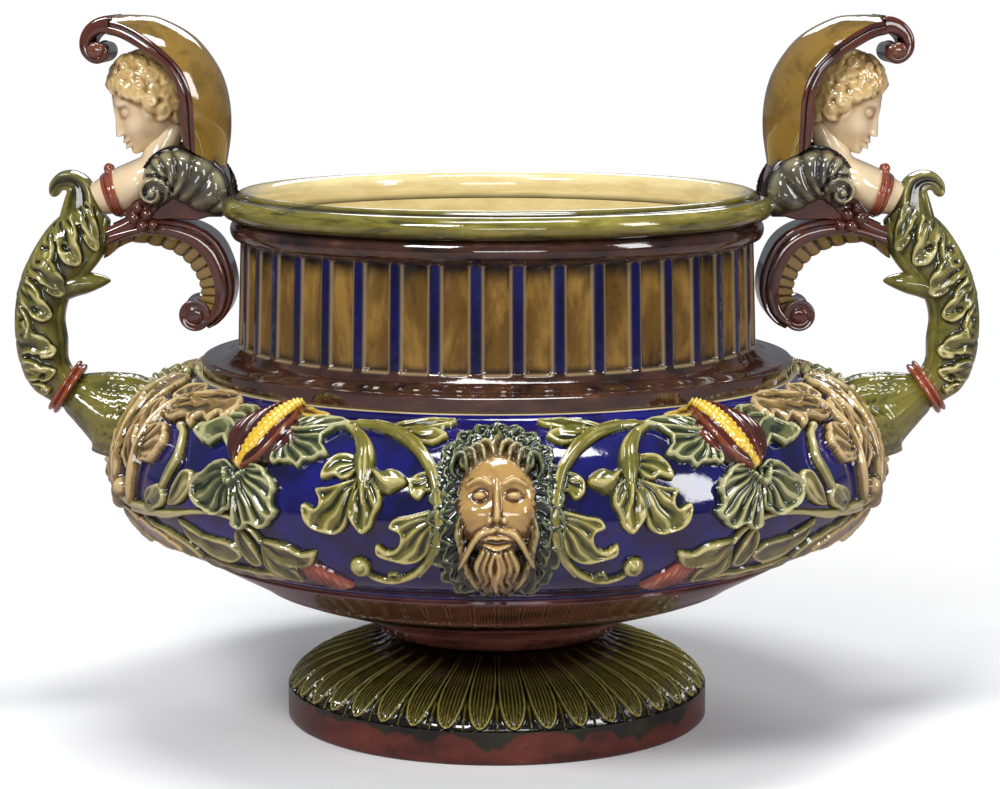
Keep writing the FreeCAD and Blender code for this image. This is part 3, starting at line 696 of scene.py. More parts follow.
def make_bowl():
    """Hollow belly on its collar, with a moulded band under it."""
    outside = [(1e-6, JOINT_Z), (0.052, JOINT_Z), (0.060, JOINT_Z), (0.066, 0.0523), (0.072, 0.0543),
        (0.0768, 0.058), (0.0790, 0.0618), (0.0776, 0.0645), (0.0748, 0.0655), (0.090, 0.0685),
        (0.112, 0.0745), (0.134, 0.0815), (0.1425, 0.0848), (0.1440, 0.0856), (0.1455, 0.0866),
        (0.1470, 0.0880), (0.1535, 0.0914), (0.1620, 0.0960), (0.1700, 0.1003), (0.1780, 0.1046),
        (0.1800, 0.1058), (0.1808, 0.1066), (0.1800, 0.1078), (0.1806, 0.1092)]
    low_r = BELLY_R - UNDER_CURVE
    up_r = BELLY_R - SHOULDER_CURVE
    outside += arc(low_r, BELLY_Z, UNDER_CURVE, -82, 0, 22)[1:]
    outside += arc(up_r, BELLY_Z, SHOULDER_CURVE, 0, 84, 24)[1:]
    outside += [(0.1830, SHOULDER_Z - 0.0022), (0.1806, SHOULDER_Z - 0.0004), (0.1790, SHOULDER_Z),
        (0.170, SHOULDER_Z)]
    inner = [(MOUTH_R + 0.001, SHOULDER_Z), (MOUTH_R, SHOULDER_Z - 0.001),
        (MOUTH_R, SHOULDER_Z - WALL + 0.001), (0.172, SHOULDER_Z - WALL)]
    inner += arc(up_r, BELLY_Z, SHOULDER_CURVE - WALL, 70, 0, 10)
    inner += arc(low_r, BELLY_Z, UNDER_CURVE - WALL, -8, -70, 9)
    inner += [(0.147, 0.1002), (0.110, 0.083), (0.075, 0.0685), (0.069, 0.0662), (0.040, 0.0662),
        (1e-6, 0.0662)]
    piece = thrown("bowl_body", outside + inner, 224)
    co, r, z, phi = wheel(piece)
    # straw glaze inside: within the round wall, or above the underside
    centre = np.where(z > BELLY_Z, up_r, low_r)
    curve = np.where(z > BELLY_Z, SHOULDER_CURVE, UNDER_CURVE)
    in_wall = np.hypot(r - centre, z - BELLY_Z) < curve - 0.006
    underside = np.interp(r, [0.0735, 0.0748, 0.112, 0.147, 0.180, 0.192], [0.0600, 0.0655, 0.0745,
        0.0880, 0.1066, 0.1144])
    inside = np.where(r > centre, in_wall, z > underside + 0.0025)
    add_field(piece, "inside", inside.astype(float))
    zone = np.interp(z, [0.052, 0.066, 0.067, 0.0845, 0.0858, 0.108, 0.1095, 0.13],
        [0.0, 0.10, 0.15, 0.23, 0.26, 0.47, 0.52, 0.9])
    add_field(piece, "zone", zone)
    smooth(piece, 50)
    dress(piece, belly_glaze(), "cobalt_glaze", "bowl")


def make_neck():
    """Shoulder band, cove, fluted wall and ring bead, pressed inwards channel by channel."""
    z0, z1 = NECK_Z, RIM_Z
    bottom, top = z0 + 0.018, z0 + 0.0795                      # of the fluted wall
    profile = [(MOUTH_R, z0), (0.172, z0), (0.1768, z0), (0.1780, z0 + 0.0012), (0.1780, z0 + 0.0045),
        (0.1780, z0 + 0.0080), (0.1768, z0 + 0.0093), (0.1730, z0 + 0.0097), (0.1690, z0 + 0.0100),
        (0.1650, z0 + 0.0108), (0.1617, z0 + 0.0123), (0.1590, z0 + 0.0145), (0.1571, z0 + 0.0168)]
    steps = np.r_[np.linspace(0, 0.045, 5), np.linspace(0.10, 0.92, 16), np.linspace(0.955, 1, 5)]
    for k in steps:
        profile.append((NECK_R - 0.002 * k, bottom + (top - bottom) * k))
    profile += [(0.1562, z1 - 0.0115), (0.1583, z1 - 0.0104), (0.1596, z1 - 0.0080),
        (0.1600, z1 - 0.0055), (0.1596, z1 - 0.0030), (0.1584, z1 - 0.0008), (0.1575, z1), (MOUTH_R, z1),
        (MOUTH_R, z1 - 0.02), (MOUTH_R, z1 - 0.05)]
    piece = thrown("neck_flutes", profile, FLUTES * 18)
    co, r, z, phi = wheel(piece)
    outer = r > 0.1495
    rows = (z >= bottom - 1e-5) & (z <= top + 1e-5) & outer
    pitch = 2 * math.pi * 155 / FLUTES                         # mm, at the wall's mean radius
    u = ((phi * FLUTES / (2 * math.pi) + 0.5) % 1.0 - 0.5) * pitch
    half = 8.1                                                 # half a channel's width, mm
    x = np.abs(u) / half
    dish = np.where(x < 1, 3.3 * np.abs(1 - x ** 2.0) ** 0.75 + 0.4, 0.0)
    k = np.clip((z - bottom) / (top - bottom), 0, 1)
    # the channels end square above and below
    square = np.clip(k / 0.02, 0, 1) * np.clip((1 - k) / 0.02, 0, 1)
    step = np.where(rows, dish * square, 0)
    co[:, 0] -= step * MM * np.sin(phi)
    co[:, 1] += step * MM * np.cos(phi)
    set_points(piece, co)
    flat = rows & (k > 0.012) & (k < 0.988)
    add_field(piece, "fillet", (flat & (x >= 1)).astype(float))
    pale = np.exp(-((np.abs(u) - half) / 0.45) ** 2) * flat * 0.85
    foot_line = np.exp(-((z - bottom) / 0.0006) ** 2) * outer * (x < 1) * 0.5
    add_field(piece, "pale", np.maximum(pale, foot_line))
    add_field(piece, "band", np.where(outer & ~flat, 1.0, 0.0))
    # painted shade: each channel darker towards its top and bottom ends and towards its sides
    end_shade = np.minimum(np.clip(k * 8, 0.05, 1), np.clip((1 - k) * 3.4, 0, 1))
    shade = end_shade * np.clip(1.30 * (1 - x ** 2.4) + 0.10, 0.1, 1)
    add_field(piece, "shade", np.where(rows, shade, 1.0))
    add_field(piece, "inside", (r < MOUTH_R + 0.0003).astype(float))
    smooth(piece, 42)
    dress(piece, flute_glaze(), "flute_glaze", "neck")


def make_rim():
    """Rolled rim with a groove and an inner lip."""
    z = RIM_Z
    profile = [(MOUTH_R, z), (0.1575, z), (0.1580, z + 0.0004), (0.1600, z + 0.0010),
        (0.1630, z + 0.0024), (0.1650, z + 0.0046), (0.1659, z + 0.0072), (0.1655, z + 0.0096),
        (0.1640, z + 0.0118), (0.1614, z + 0.0134), (0.1590, z + 0.0139), (0.1572, z + 0.0140),
        (0.1560, z + 0.0145), (0.1552, z + 0.0154), (0.1545, z + 0.0163), (0.1530, z + 0.0169),
        (0.1505, z + 0.0168), (0.1482, z + 0.0159), (0.1463, z + 0.0143), (0.1453, z + 0.0122),
        (MOUTH_R, z + 0.009), (MOUTH_R, z + 0.004)]
    piece = thrown("rim_roll", profile, 256)
    co, r, h, phi = wheel(piece)
    add_field(piece, "inside", ((r < 0.1512) & (h > z + 0.003)).astype(float))
    groove = 1 - np.exp(-((r - 0.1567) / 0.0019) ** 2) * (h > z + 0.012)
    under = np.clip((h - z - 0.0008) / 0.0050, 0.0, 1)
    add_field(piece, "shade", np.minimum(groove, under))
    smooth(piece, 60)
    dress(piece, rim_glaze(), "rim_glaze", "rim")


make_foot()
make_bowl()
make_neck()
make_rim()


# ================================================================ sprigs on the belly
def on_belly(way_x=1, way_y=1, turn=0.0):
    """Lays board coordinates on the belly: s round it from the front, t up from its widest line."""
    def place(s, t, h):
        phi = s * MM / BELLY_R + turn
        curve = np.where(t > 0, SHOULDER_CURVE, UNDER_CURVE)
        a = t * MM / curve
        reach = curve + h * MM
        r = BELLY_R - curve + reach * np.cos(a)
        return np.stack([way_x * r * np.sin(phi), -way_y * r * np.cos(phi), BELLY_Z + reach * np.sin(a)],
            -1)
    return place


QUARTERS = {"front_right": (1, 1), "front_left": (-1, 1), "back_right": (1, -1), "back_left": (-1, -1)}


def press_four(name, clay, material, slot, node, height):
    """One sprig for each quarter of the belly, mirrored from its neighbours."""
    for corner, (way_x, way_y) in QUARTERS.items():
        piece = pressed(name + "_" + corner, clay, on_belly(way_x, way_y), height, flip=way_x * way_y < 0)
        dress(piece, material, slot, node)


def make_scroll_leaves():
    """Stem that scrolls beside the mask, with its leaves."""
    c = Clay(24, 112, -42, 80, 0.65)
    # leaf that runs up over the shoulder towards the mask
    c.lobe([(70, 60), (58, 57), (44, 60), (30, 66), (27, 74), (40, 75), (56, 70), (68, 64)], 4.4,
        (72, 60), notches=5, ribs=6)
    c.lobe([(60, 56), (50, 49), (38, 48), (29, 54), (36, 60), (48, 61)], 4.8, (62, 57), notches=4, ribs=6)
    # leaves of the outer scroll
    c.lobe([(36, 31), (43, 30), (48, 25), (47, 18), (42, 15), (38, 19), (35, 20)], 5.4, (36, 26), ribs=4)
    c.lobe([(34, 11), (40, 9), (47, 7), (55, 5), (58, 0), (52, -3), (53, -9), (58, -12), (65, -9),
        (65, -15), (56, -18), (47, -19), (39, -15), (34, -6)], 6.0, (31, 8), notches=0, dish=0.4, ribs=10)
    c.lobe([(52, -31), (57, -27), (62, -29), (60, -34)], 3.2, (54, -32), ribs=3)
    c.roll([(97, 63), (78, 62), (62, 56), (48, 46), (38, 34), (33, 22), (31, 10), (31, -2), (35, -14),
        (45, -26), (58, -33), (68, -32), (73, -28)], [2.4, 3.4, 3.8, 3.8, 3.6, 3.2, 2.6, 1.9, 1.6],
        [3.4, 4.4, 5.2, 5.4, 5.4, 5.0, 4.0, 3.4], power=0.4, steps=104)
    c.roll([(92, 65), (76, 64.5), (60, 58.5), (46, 48.5), (35.5, 35), (30.5, 22), (28.6, 10), (28.6, -2),
        (33, -15), (43, -28)], [0.8, 0.9, 0.7], [4.6, 5.6, 5.6, 4.8], steps=70)
    for k in (0, 1):
        c.score([(80, 60 - k * 2), (62, 54 - k * 2.4), (49, 44 - k * 2), (40, 32), (35, 20),
            (33.5 + k, 8)], 0.5, 0.8, steps=48)
    c.dab(76, -23.5, 6.0, 6.6, power=0.32)
    c.score([(73, -28), (79, -26), (80, -21), (75, -19), (72.5, -22.5), (75.5, -24)], 0.55, 1.0, steps=30)
    # the large leaf in the middle: five lobes out of one fluted stem
    c.lobe([(76, 38), (86, 39), (94, 37), (99, 30), (99, 23), (91, 25), (86, 23), (80, 26)], 5.6,
        (75, 36), notches=0, dish=0.42, ribs=7)
    c.lobe([(74, 38), (66, 31), (58, 32), (51, 28), (49, 23), (55, 19), (60, 17), (67, 21)], 6.6,
        (74, 32), dish=-0.10, ribs=6, edge=1.6)
    c.lobe([(75, 27), (84, 23), (92, 20), (101, 18), (98, 12), (100, 8), (108, 10), (107, 2), (102, -3),
        (94, -5), (87, -5), (81, 0), (78, 12)], 6.2, (75, 28), dish=0.40, ribs=9)
    c.lobe([(74, 26), (79, 13), (80, 5), (76, -1), (72, -4), (67, 0), (65, 6), (62, 12), (63, 19),
        (69, 25)], 6.8, (74, 30), dish=0.36, ribs=11)
    c.roll([(97, 60), (86, 53), (78, 43), (75, 33), (73, 23), (72, 12)], [2.0, 3.6, 5.4, 6.2, 4.4, 1.0],
        [3.8, 5.4, 6.6, 7.2, 7.4, 6.6], power=0.5, steps=50)
    for off in (-2.6, 0.0, 2.6):
        c.score([(86 + off * 0.3, 53 - off * 0.5), (78 + off, 43), (75 + off * 1.2, 33), (73 + off, 22)],
            0.6, 1.1, steps=30)
    glaze = relief_glaze("leaf_olive", (0.010, 0.012, 0.002), (0.160, 0.138, 0.018),
                         (0.455, 0.400, 0.145), mottle=(0.092, 0.102, 0.020))
    press_four("scroll_leaf", c, glaze, "leaf_glaze", "scroll_leaves", 7.0)
    return glaze


def make_pods():
    """Split husk with three rows of kernels."""
    c = Clay(116, 182, 14, 82, 0.65)
    c.lobe([(156, 76), (156, 80), (146, 80), (130, 75), (114, 69), (124, 64), (138, 64), (150, 68)], 5.0,
        (154, 76), tone=0.55, notches=5, ribs=6)
    # husk, opened along its front
    c.fill([(159, 24), (168, 30), (174, 39), (175, 49), (171, 59), (163, 67), (152, 73), (140, 70),
        (130, 60), (126, 50), (127, 41), (133, 32), (142, 25), (150, 22)], 9.4, edge=3.6)
    for k in range(3):
        out = 3.4 * k
        c.score([(155 + out * 0.5, 72 - k), (160 + out, 62), (162 + out, 46), (160 + out * 0.7, 34),
            (158, 26)], 0.7, 1.5, steps=40)
    c.score([(139, 69), (131, 57), (131, 44), (138, 31), (150, 23)], 0.8, 1.6, steps=40)
    c.roll([(137, 68), (132, 56), (133, 43), (140, 31), (150, 24)], [1.0, 1.8, 1.8, 1.0],
        [9.0, 10.0, 9.4], steps=40)
    c.roll([(149, 73), (154, 61), (156, 47), (155, 35), (155, 25)], [1.0, 1.8, 1.8, 1.0],
        [9.6, 11.0, 10.6], steps=40)
    # kernels
    path = [(144, 75), (142, 62), (143, 50), (147, 38), (153, 26)]
    c.roll(path, [2.4, 6.2, 7.4, 6.6, 2.4], [8.0, 11.0, 11.8, 11.2, 8.0], tone=1.0, power=0.30, steps=48)
    line = bend(path, 80)
    for i in range(15):
        here = line[2 + int(i * 5.1)]
        d = line[4 + int(i * 5.1)] - here
        d = d / np.hypot(*d)
        full = math.sin(math.pi * (i + 0.9) / 15.8) ** 0.5
        for row in (-1, 0, 1):
            shift = 3.9 * row * full
            along = 0.9 if row else -0.6
            c.dab(here[0] - d[1] * shift + d[0] * along, here[1] + d[0] * shift + d[1] * along,
                2.05 * full + 0.3, 9.0 + 4.0 * full - 0.7 * row * row, tone=1.0, power=0.40)
    glaze = relief_glaze("pod_red", (0.006, 0.002, 0.002), (0.070, 0.011, 0.005), (0.190, 0.048, 0.018),
        mottle=(0.030, 0.008, 0.006),
        other=((0.120, 0.048, 0.004), (0.700, 0.430, 0.030), (0.860, 0.680, 0.190)))
    press_four("pod", c, glaze, "pod_glaze", "pods", 13.0)


def make_pod_leaves():
    """Leaves that the pod lies in."""
    c = Clay(94, 214, -12, 74, 0.65)
    root = (157, 24)
    # ragged leaf towards the scroll
    c.lobe([(132, 60), (124, 65), (110, 67), (95, 63), (101, 57), (107, 50), (104, 44), (99, 37),
        (106, 33), (112, 32), (115, 27), (121, 30), (134, 29), (136, 44)], 5.6, (134, 48), notches=11,
        bite=1.6, dish=0.35, ribs=10)
    c.roll([(134, 50), (122, 52), (108, 56), (98, 61)], [1.4, 1.2, 0.6], [6.6, 6.0, 5.0])
    c.lobe([(168, 62), (176, 69), (190, 70), (196, 63), (188, 53), (180, 48), (173, 53)], 4.6, (168, 58),
        notches=6, ribs=6)
    # the calyx leaves the pod lies in
    c.lobe([root, (170, 34), (179, 38), (187, 33), (199, 36), (206, 38), (204, 45), (196, 49), (187, 54),
        (176, 50), (168, 44)], 7.0, root, notches=9, bite=1.6, dish=0.40, ribs=8)
    c.lobe([root, (146, 28), (136, 26), (129, 21), (125, 15), (126, 8), (123, 4), (126, -2), (133, -6),
        (140, -5), (147, -8), (155, -5), (153, 6)], 8.0, root, notches=8, bite=1.5, dish=0.32, ribs=14,
        rib=0.7)
    c.lobe([root, (167, 28), (177, 22), (186, 15), (188, 8), (183, 2), (174, -2), (162, -2), (153, 6)],
        8.6, root, notches=7, bite=1.4, dish=0.55, ribs=9, rib=0.5)
    c.roll([(150, 22), (157, 16), (164, 22)], [2.0, 3.4, 2.0], [7.0, 8.6, 7.0])
    for end in ((128, 12), (134, -1), (146, -3), (172, 4), (182, 12)):
        c.score([root, ((root[0] + end[0]) / 2, (root[1] + end[1]) / 2 + 1), end], 0.7, 1.3)
    # two small leaves towards the handle
    c.lobe([(214, -4), (206, -3), (198, 0), (192, 5), (188, 11), (191, 18), (199, 18), (205, 10)], 5.4,
        (212, -4), tone=1.0, ribs=5)
    glaze = relief_glaze("leaf_grey", (0.006, 0.010, 0.004), (0.098, 0.110, 0.034), (0.420, 0.405, 0.200),
        mottle=(0.050, 0.068, 0.030),
        other=((0.024, 0.022, 0.006), (0.200, 0.175, 0.046), (0.520, 0.450, 0.210)))
    press_four("pod_leaf", c, glaze, "leaf_glaze", "pod_leaves", 9.0)


def make_sprays():
    """Low leaves, a ribbed fruit and their stem, under the pod."""
    c = Clay(84, 262, -50, 2, 0.75)
    c.lobe([(186, -33), (169, -36), (146, -37), (124, -35), (122, -39), (146, -46), (172, -46),
        (196, -44), (200, -36)], 3.4, (202, -38), notches=9, ribs=5)
    c.lobe([(206, -8), (190, -13), (174, -16), (160, -18), (153, -25), (166, -32), (180, -30),
        (194, -22)], 4.6, (206, -12), notches=4, ribs=6)
    c.lobe([(152, -5), (146, -11), (142, -18), (141, -29), (149, -31), (154, -22), (156, -13)], 4.6,
        (154, -6), ribs=4)
    c.lobe([(138, -12), (127, -12), (118, -14), (111, -17), (102, -16), (104, -23), (112, -27),
        (124, -27), (134, -22)], 5.6, (138, -14), dish=0.30, ribs=5)
    c.lobe([(138, -14), (139, -23), (139, -31), (130, -37), (118, -40), (116, -31), (124, -24),
        (132, -18)], 5.2, (138, -16), dish=0.30, ribs=5)
    c.lobe([(118, -24), (106, -22), (98, -28), (91, -34), (85, -42), (96, -47), (108, -42), (118, -36)],
        3.8, (120, -28), tone=1.0, dish=-0.2, ribs=2, rib=0.0, edge=1.4)
    for k in range(8):
        c.score([(88 + 3.9 * k, -46 + 1.2 * k), (95 + 3.2 * k, -28 + 0.6 * k)], 0.5, 0.9)
        c.score([(86 + 4.0 * k, -40 + 0.8 * k), (97 + 3.6 * k, -46 + 0.9 * k)], 0.45, 0.8)
    c.roll([(262, -13), (236, -11), (206, -7), (183, -3), (165, -2), (152, -4), (142, -8), (136, -14)],
        [2.6, 2.4, 2.0, 1.6, 1.5], [4.4, 4.8, 4.4, 4.0, 4.4], groove=0.7, steps=60)
    c.lobe([(250, -13), (232, -17), (214, -20), (200, -27), (196, -35), (212, -36), (230, -28),
        (246, -19)], 4.2, (250, -15), notches=6, ribs=5)
    glaze = relief_glaze("leaf_spray", (0.011, 0.013, 0.004), (0.165, 0.147, 0.034),
        (0.460, 0.400, 0.175), mottle=(0.095, 0.096, 0.032),
        other=((0.050, 0.008, 0.006), (0.270, 0.058, 0.034), (0.440, 0.180, 0.110)))
    press_four("spray", c, glaze, "leaf_glaze", "sprays", 6.0)


def make_fans():
    """Two large lobed leaves beside the handle."""
    c = Clay(186, 352, -38, 80, 0.75)
    # second leaf and its neighbours, nearer the handle, lie behind the first
    c.lobe([(300, -12), (316, -10), (332, 0), (346, 14), (350, 28), (340, 26), (328, 18), (312, 8)], 5.6,
        (298, -12), notches=8, bite=2.0, ribs=9)
    c.lobe([(292, 0), (302, 12), (314, 16), (328, 26), (338, 40), (334, 48), (320, 42), (306, 30)], 6.4,
        (292, 2), notches=7, bite=2.0, ribs=9)
    c.lobe([(292, 24), (300, 40), (310, 50), (328, 56), (340, 66), (330, 74), (312, 72), (298, 62),
        (288, 46)], 7.0, (291, 28), notches=10, bite=2.2, ribs=9)
    c.lobe([(290, 8), (280, 18), (272, 34), (276, 44), (286, 42), (292, 28)], 6.4, (290, 12), notches=5,
        bite=1.6, ribs=7)
    c.roll([(290, -6), (290, 14), (294, 32), (304, 48), (318, 60)], [3.4, 3.0, 2.2, 1.0],
        [6.0, 7.6, 8.0, 7.0], groove=1.0, steps=46)
    # first leaf: lobes at both sides of a rib that bends over to a broad toothed tip
    lobes = {(261, 8): [(262, 6), (270, 9), (280, 18), (284, 30), (276, 33), (268, 27), (260, 20)],
        (258, 30): [(258, 28), (268, 30), (278, 38), (284, 50), (276, 54), (266, 50), (258, 42)],
        (253, 57): [(252, 54), (262, 52), (276, 60), (282, 72), (270, 77), (256, 74), (246, 66)],
        (260, 20): [(258, 34), (246, 40), (236, 38), (229, 30), (232, 21), (238, 16), (249, 15),
        (256, 22)]}
    for root, outline in lobes.items():
        c.lobe(outline, 7.2, root, notches=6, bite=1.7, dish=0.36, ribs=8)
    c.lobe([(256, 44), (250, 56), (247, 66), (240, 74), (226, 78), (208, 76), (194, 68), (189, 58),
        (191, 50), (200, 54), (202, 46), (212, 50), (216, 42), (228, 47), (242, 42)], 7.6, (258, 48),
        notches=15, bite=1.5, dish=0.34, ribs=9)
    c.roll([(262, -8), (257, 8), (257, 24), (258, 40), (253, 55), (238, 66), (216, 71)],
        [3.6, 3.2, 2.6, 2.0, 1.4, 0.8], [6.0, 8.0, 8.6, 8.6, 8.4, 7.6], groove=1.0, steps=60)
    for way in ((240, 62), (228, 56), (214, 60)):
        c.roll([(254, 54), ((254 + way[0]) / 2, (56 + way[1]) / 2 + 2), way], [0.9, 0.7, 0.3],
            [8.0, 7.6, 6.6])
    # root boss and the leaves under it
    c.lobe([(290, -12), (268, -14), (244, -18), (222, -24), (214, -33), (238, -34), (262, -28),
        (284, -20)], 5.2, (292, -14), notches=9, bite=1.8, ribs=7)
    c.lobe([(306, -16), (288, -22), (270, -30), (262, -37), (284, -36), (304, -28)], 5.0, (306, -18),
        tone=1.0, notches=6, bite=1.6, ribs=6)
    c.dab(286, -8, 9.5, 8.0)
    c.dab(277, -3, 6.0, 8.8)
    c.dab(294, -13, 6.0, 7.4)
    # husk strip and roll of beads against the root of the handle
    c.roll([(352, 70), (344, 56), (338, 40), (338, 24)], [3.0, 3.8, 3.4, 2.0], 6.4, tone=0.5, power=0.4)
    for k in range(9):
        c.score([(333 + 1.8 * k, 24 + 5.4 * k), (342 + 1.4 * k, 21 + 5.6 * k)], 0.5, 1.0)
    rope = bend([(352, 78), (350, 62), (347, 46), (346, 30), (348, 14), (352, 0)], 80)
    for k in range(13):
        here = rope[int(k * (len(rope) - 1) / 12)]
        c.dab(here[0] + 2, here[1], 3.4, 8.4, tone=1.0, stretch=1.5)
    # slender olive leaf, small leaf and stem
    c.roll([(225, 41), (218, 38), (212, 31), (209, 23), (213, 14), (220, 3)],
        [2.6, 2.2, 2.6, 3.4, 3.0, 1.6], [5.2, 5.0, 5.4, 5.8, 5.4, 4.6], tone=1.0, groove=0.9, power=0.45,
        steps=40)
    c.dab(224, 41, 3.4, 5.6, tone=1.0)
    c.lobe([(240, -6), (228, -9), (217, -4), (215, 3), (221, 8), (230, 6), (238, 0)], 5.6, (240, -7),
        tone=1.0, notches=3, ribs=5)
    c.roll([(284, -8), (262, -10), (240, -9), (218, -10), (198, -6)], [3.0, 2.6, 2.4, 2.2, 1.6],
        [6.0, 5.4, 5.0, 4.6, 4.2], tone=1.0, groove=0.8)
    glaze = relief_glaze("leaf_buff", (0.026, 0.015, 0.004), (0.235, 0.142, 0.046), (0.580, 0.420, 0.200),
        mottle=(0.130, 0.092, 0.030),
        other=((0.024, 0.025, 0.007), (0.190, 0.180, 0.050), (0.500, 0.440, 0.220)))
    press_four("fan_leaf", c, glaze, "buff_glaze", "fan_leaves", 9.0)
    return glaze


make_scroll_leaves()
make_pods()
make_pod_leaves()
make_sprays()
buff_glaze = make_fans()


# ================================================================ masks
def swell(c, s, t, rs, rt, amount):
    """Soft push of the thumb into or out of clay that is already there."""
    c.h = c.h + amount * np.exp(-((c.s - s) / rs) ** 2 - ((c.t - t) / rt) ** 2) * (c.h > 0.2)


def mask_leaves(c):
    """Leafy hair and beard: shaggy lobes in two tiers, outermost first."""
    for reach, lift, count in ((1.0, 0.0, 11), (0.82, 1.6, 10)):
        for i in range(count):
            a = math.radians(-8 + 196.0 * i / (count - 1))
            wide = 7.6 * reach
            out = np.array([37 * reach * math.cos(a), 22 + 43 * reach * math.sin(a)])
            near = np.array([15 * math.cos(a), 22 + 20 * math.sin(a)])
            side = np.array([-math.sin(a), math.cos(a)])
            half = (out * 0.72 + near * 0.28)
            c.lobe([near - side * 2.5, half - side * wide, out - side * 3.0, out, out * 0.97 + side * 3.6,
                half + side * wide, near + side * 2.5], 6.4 + lift, near, tone=1.0, notches=7, bite=1.8,
                dish=0.35, ribs=8, rib=0.6)
    # down each cheek: height at the face, height and reach of the tip
    cheek = [(24, 13, 37), (16, 2, 38), (7, -9, 37), (-1, -20, 35), (-8, -31, 30), (-14, -40, 22)]
    for way in (-1, 1):
        for reach, lift in ((1.0, 0.0), (0.80, 1.8)):
            for t0, t1, out in cheek:
                tip = np.array([way * out * reach, t1 + 3 * (1 - reach) * 4])
                near = np.array([way * 13.0, t0])
                run = (tip - near) / np.hypot(*(tip - near))
                side = np.array([-run[1], run[0]])
                half = near + (tip - near) * 0.66
                c.lobe([near - side * 2.5, half - side * 6.6, tip - side * 1.6, tip,
                    tip + side * 1.6 - run * 2, half + side * 6.6, near + side * 2.5], 6.6 + lift, near,
                    tone=1.0, notches=6, bite=1.8, dish=0.35, ribs=8, rib=0.6)


def mask_face(c):
    """Plain face on the usual thirds, at rest, over the long strands of the beard."""
    brow, nose, mouth, eye = 22.0, 5.0, -3.0, 17.0
    strands = [(2.0, 3.0, -45, 0.35), (5.5, 9.5, -43, 0.55), (8.5, 15.5, -39, 0.8),
        (11.5, 21.0, -33, 0.95), (14.0, 26.0, -25, 1.0)]
    for way in (-1, 1):
        for k, (x0, x1, t1, tone) in enumerate(strands):
            bow = 2.4 if k % 2 else -1.6
            c.roll([(way * x0, -9 + k), (way * (x0 + (x1 - x0) * 0.3 + bow), -19 + k),
                (way * (x0 + (x1 - x0) * 0.65 - bow), (t1 - 22) / 2 - 6), (way * x1, t1)],
                [2.6, 3.4, 3.0, 0.7], [10.6 - 0.5 * k, 9.6 - 0.5 * k, 7.6, 4.4], tone=tone, groove=0.8,
                steps=30)
    # head
    dome = 1 - (c.s / 21.5) ** 2 - ((c.t - 14) / 29.0) ** 2
    face = np.where(dome > 0, 12.4 * np.abs(dome) ** 0.42, -1)
    hit = face > c.h
    c.h = np.where(hit, face, c.h)
    c.tone = np.where(hit, 0.0, c.tone)
    swell(c, 0, 34, 15, 9, 0.8)
    for way in (-1, 1):
        swell(c, way * 8.8, eye - 0.2, 6.4, 4.2, -3.0)
        c.roll([(way * 3.2, brow - 0.4), (way * 9, brow + 1.8), (way * 15.5, brow - 0.2)],
            [1.9, 2.4, 1.2], [14.2, 14.0, 11.6], power=0.7)
        swell(c, way * 13.5, 8.5, 5.2, 5.6, 1.3)
        swell(c, way * 16.5, 20, 4.0, 7.0, -0.9)
        c.dab(way * 8.8, eye - 0.3, 2.7, 13.6, stretch=1.75, power=0.5)
        c.score([(way * 4.4, eye - 1.3), (way * 8.8, eye - 2.4), (way * 13.2, eye - 1.0)], 0.45, 0.9)
        c.score([(way * 4.6, eye + 1.6), (way * 8.6, eye + 3.0), (way * 13.0, eye + 1.3)], 0.45, 0.7)
    c.roll([(0, 23), (0, 17), (0, 10), (0, 7.2)], [2.4, 2.3, 2.7, 3.2], [13.4, 14.4, 16.2, 16.7],
        power=0.75)
    for way in (-1, 1):
        c.dab(way * 3.6, nose + 0.9, 2.5, 14.9, power=0.6)
        swell(c, way * 2.3, nose - 1.0, 1.1, 0.9, -1.6)
    # mouth at rest
    c.roll([(-8.2, mouth), (-3, mouth + 1.7), (0, mouth + 1.2), (3, mouth + 1.7), (8.2, mouth)],
        [0.8, 1.7, 1.6, 1.7, 0.8], [12.6, 14.2, 14.2, 14.2, 12.6], power=0.7, steps=24)
    c.roll([(-6.6, mouth - 2.0), (0, mouth - 3.4), (6.6, mouth - 2.0)], [1.0, 2.1, 1.0],
        [12.4, 14.0, 12.4], power=0.7)
    c.score([(-8.4, mouth - 0.3), (-3, mouth - 0.4), (0, mouth - 0.9), (3, mouth - 0.4),
        (8.4, mouth - 0.3)], 0.55, 1.2)
    swell(c, 0, mouth - 6.6, 5.0, 1.6, -1.0)


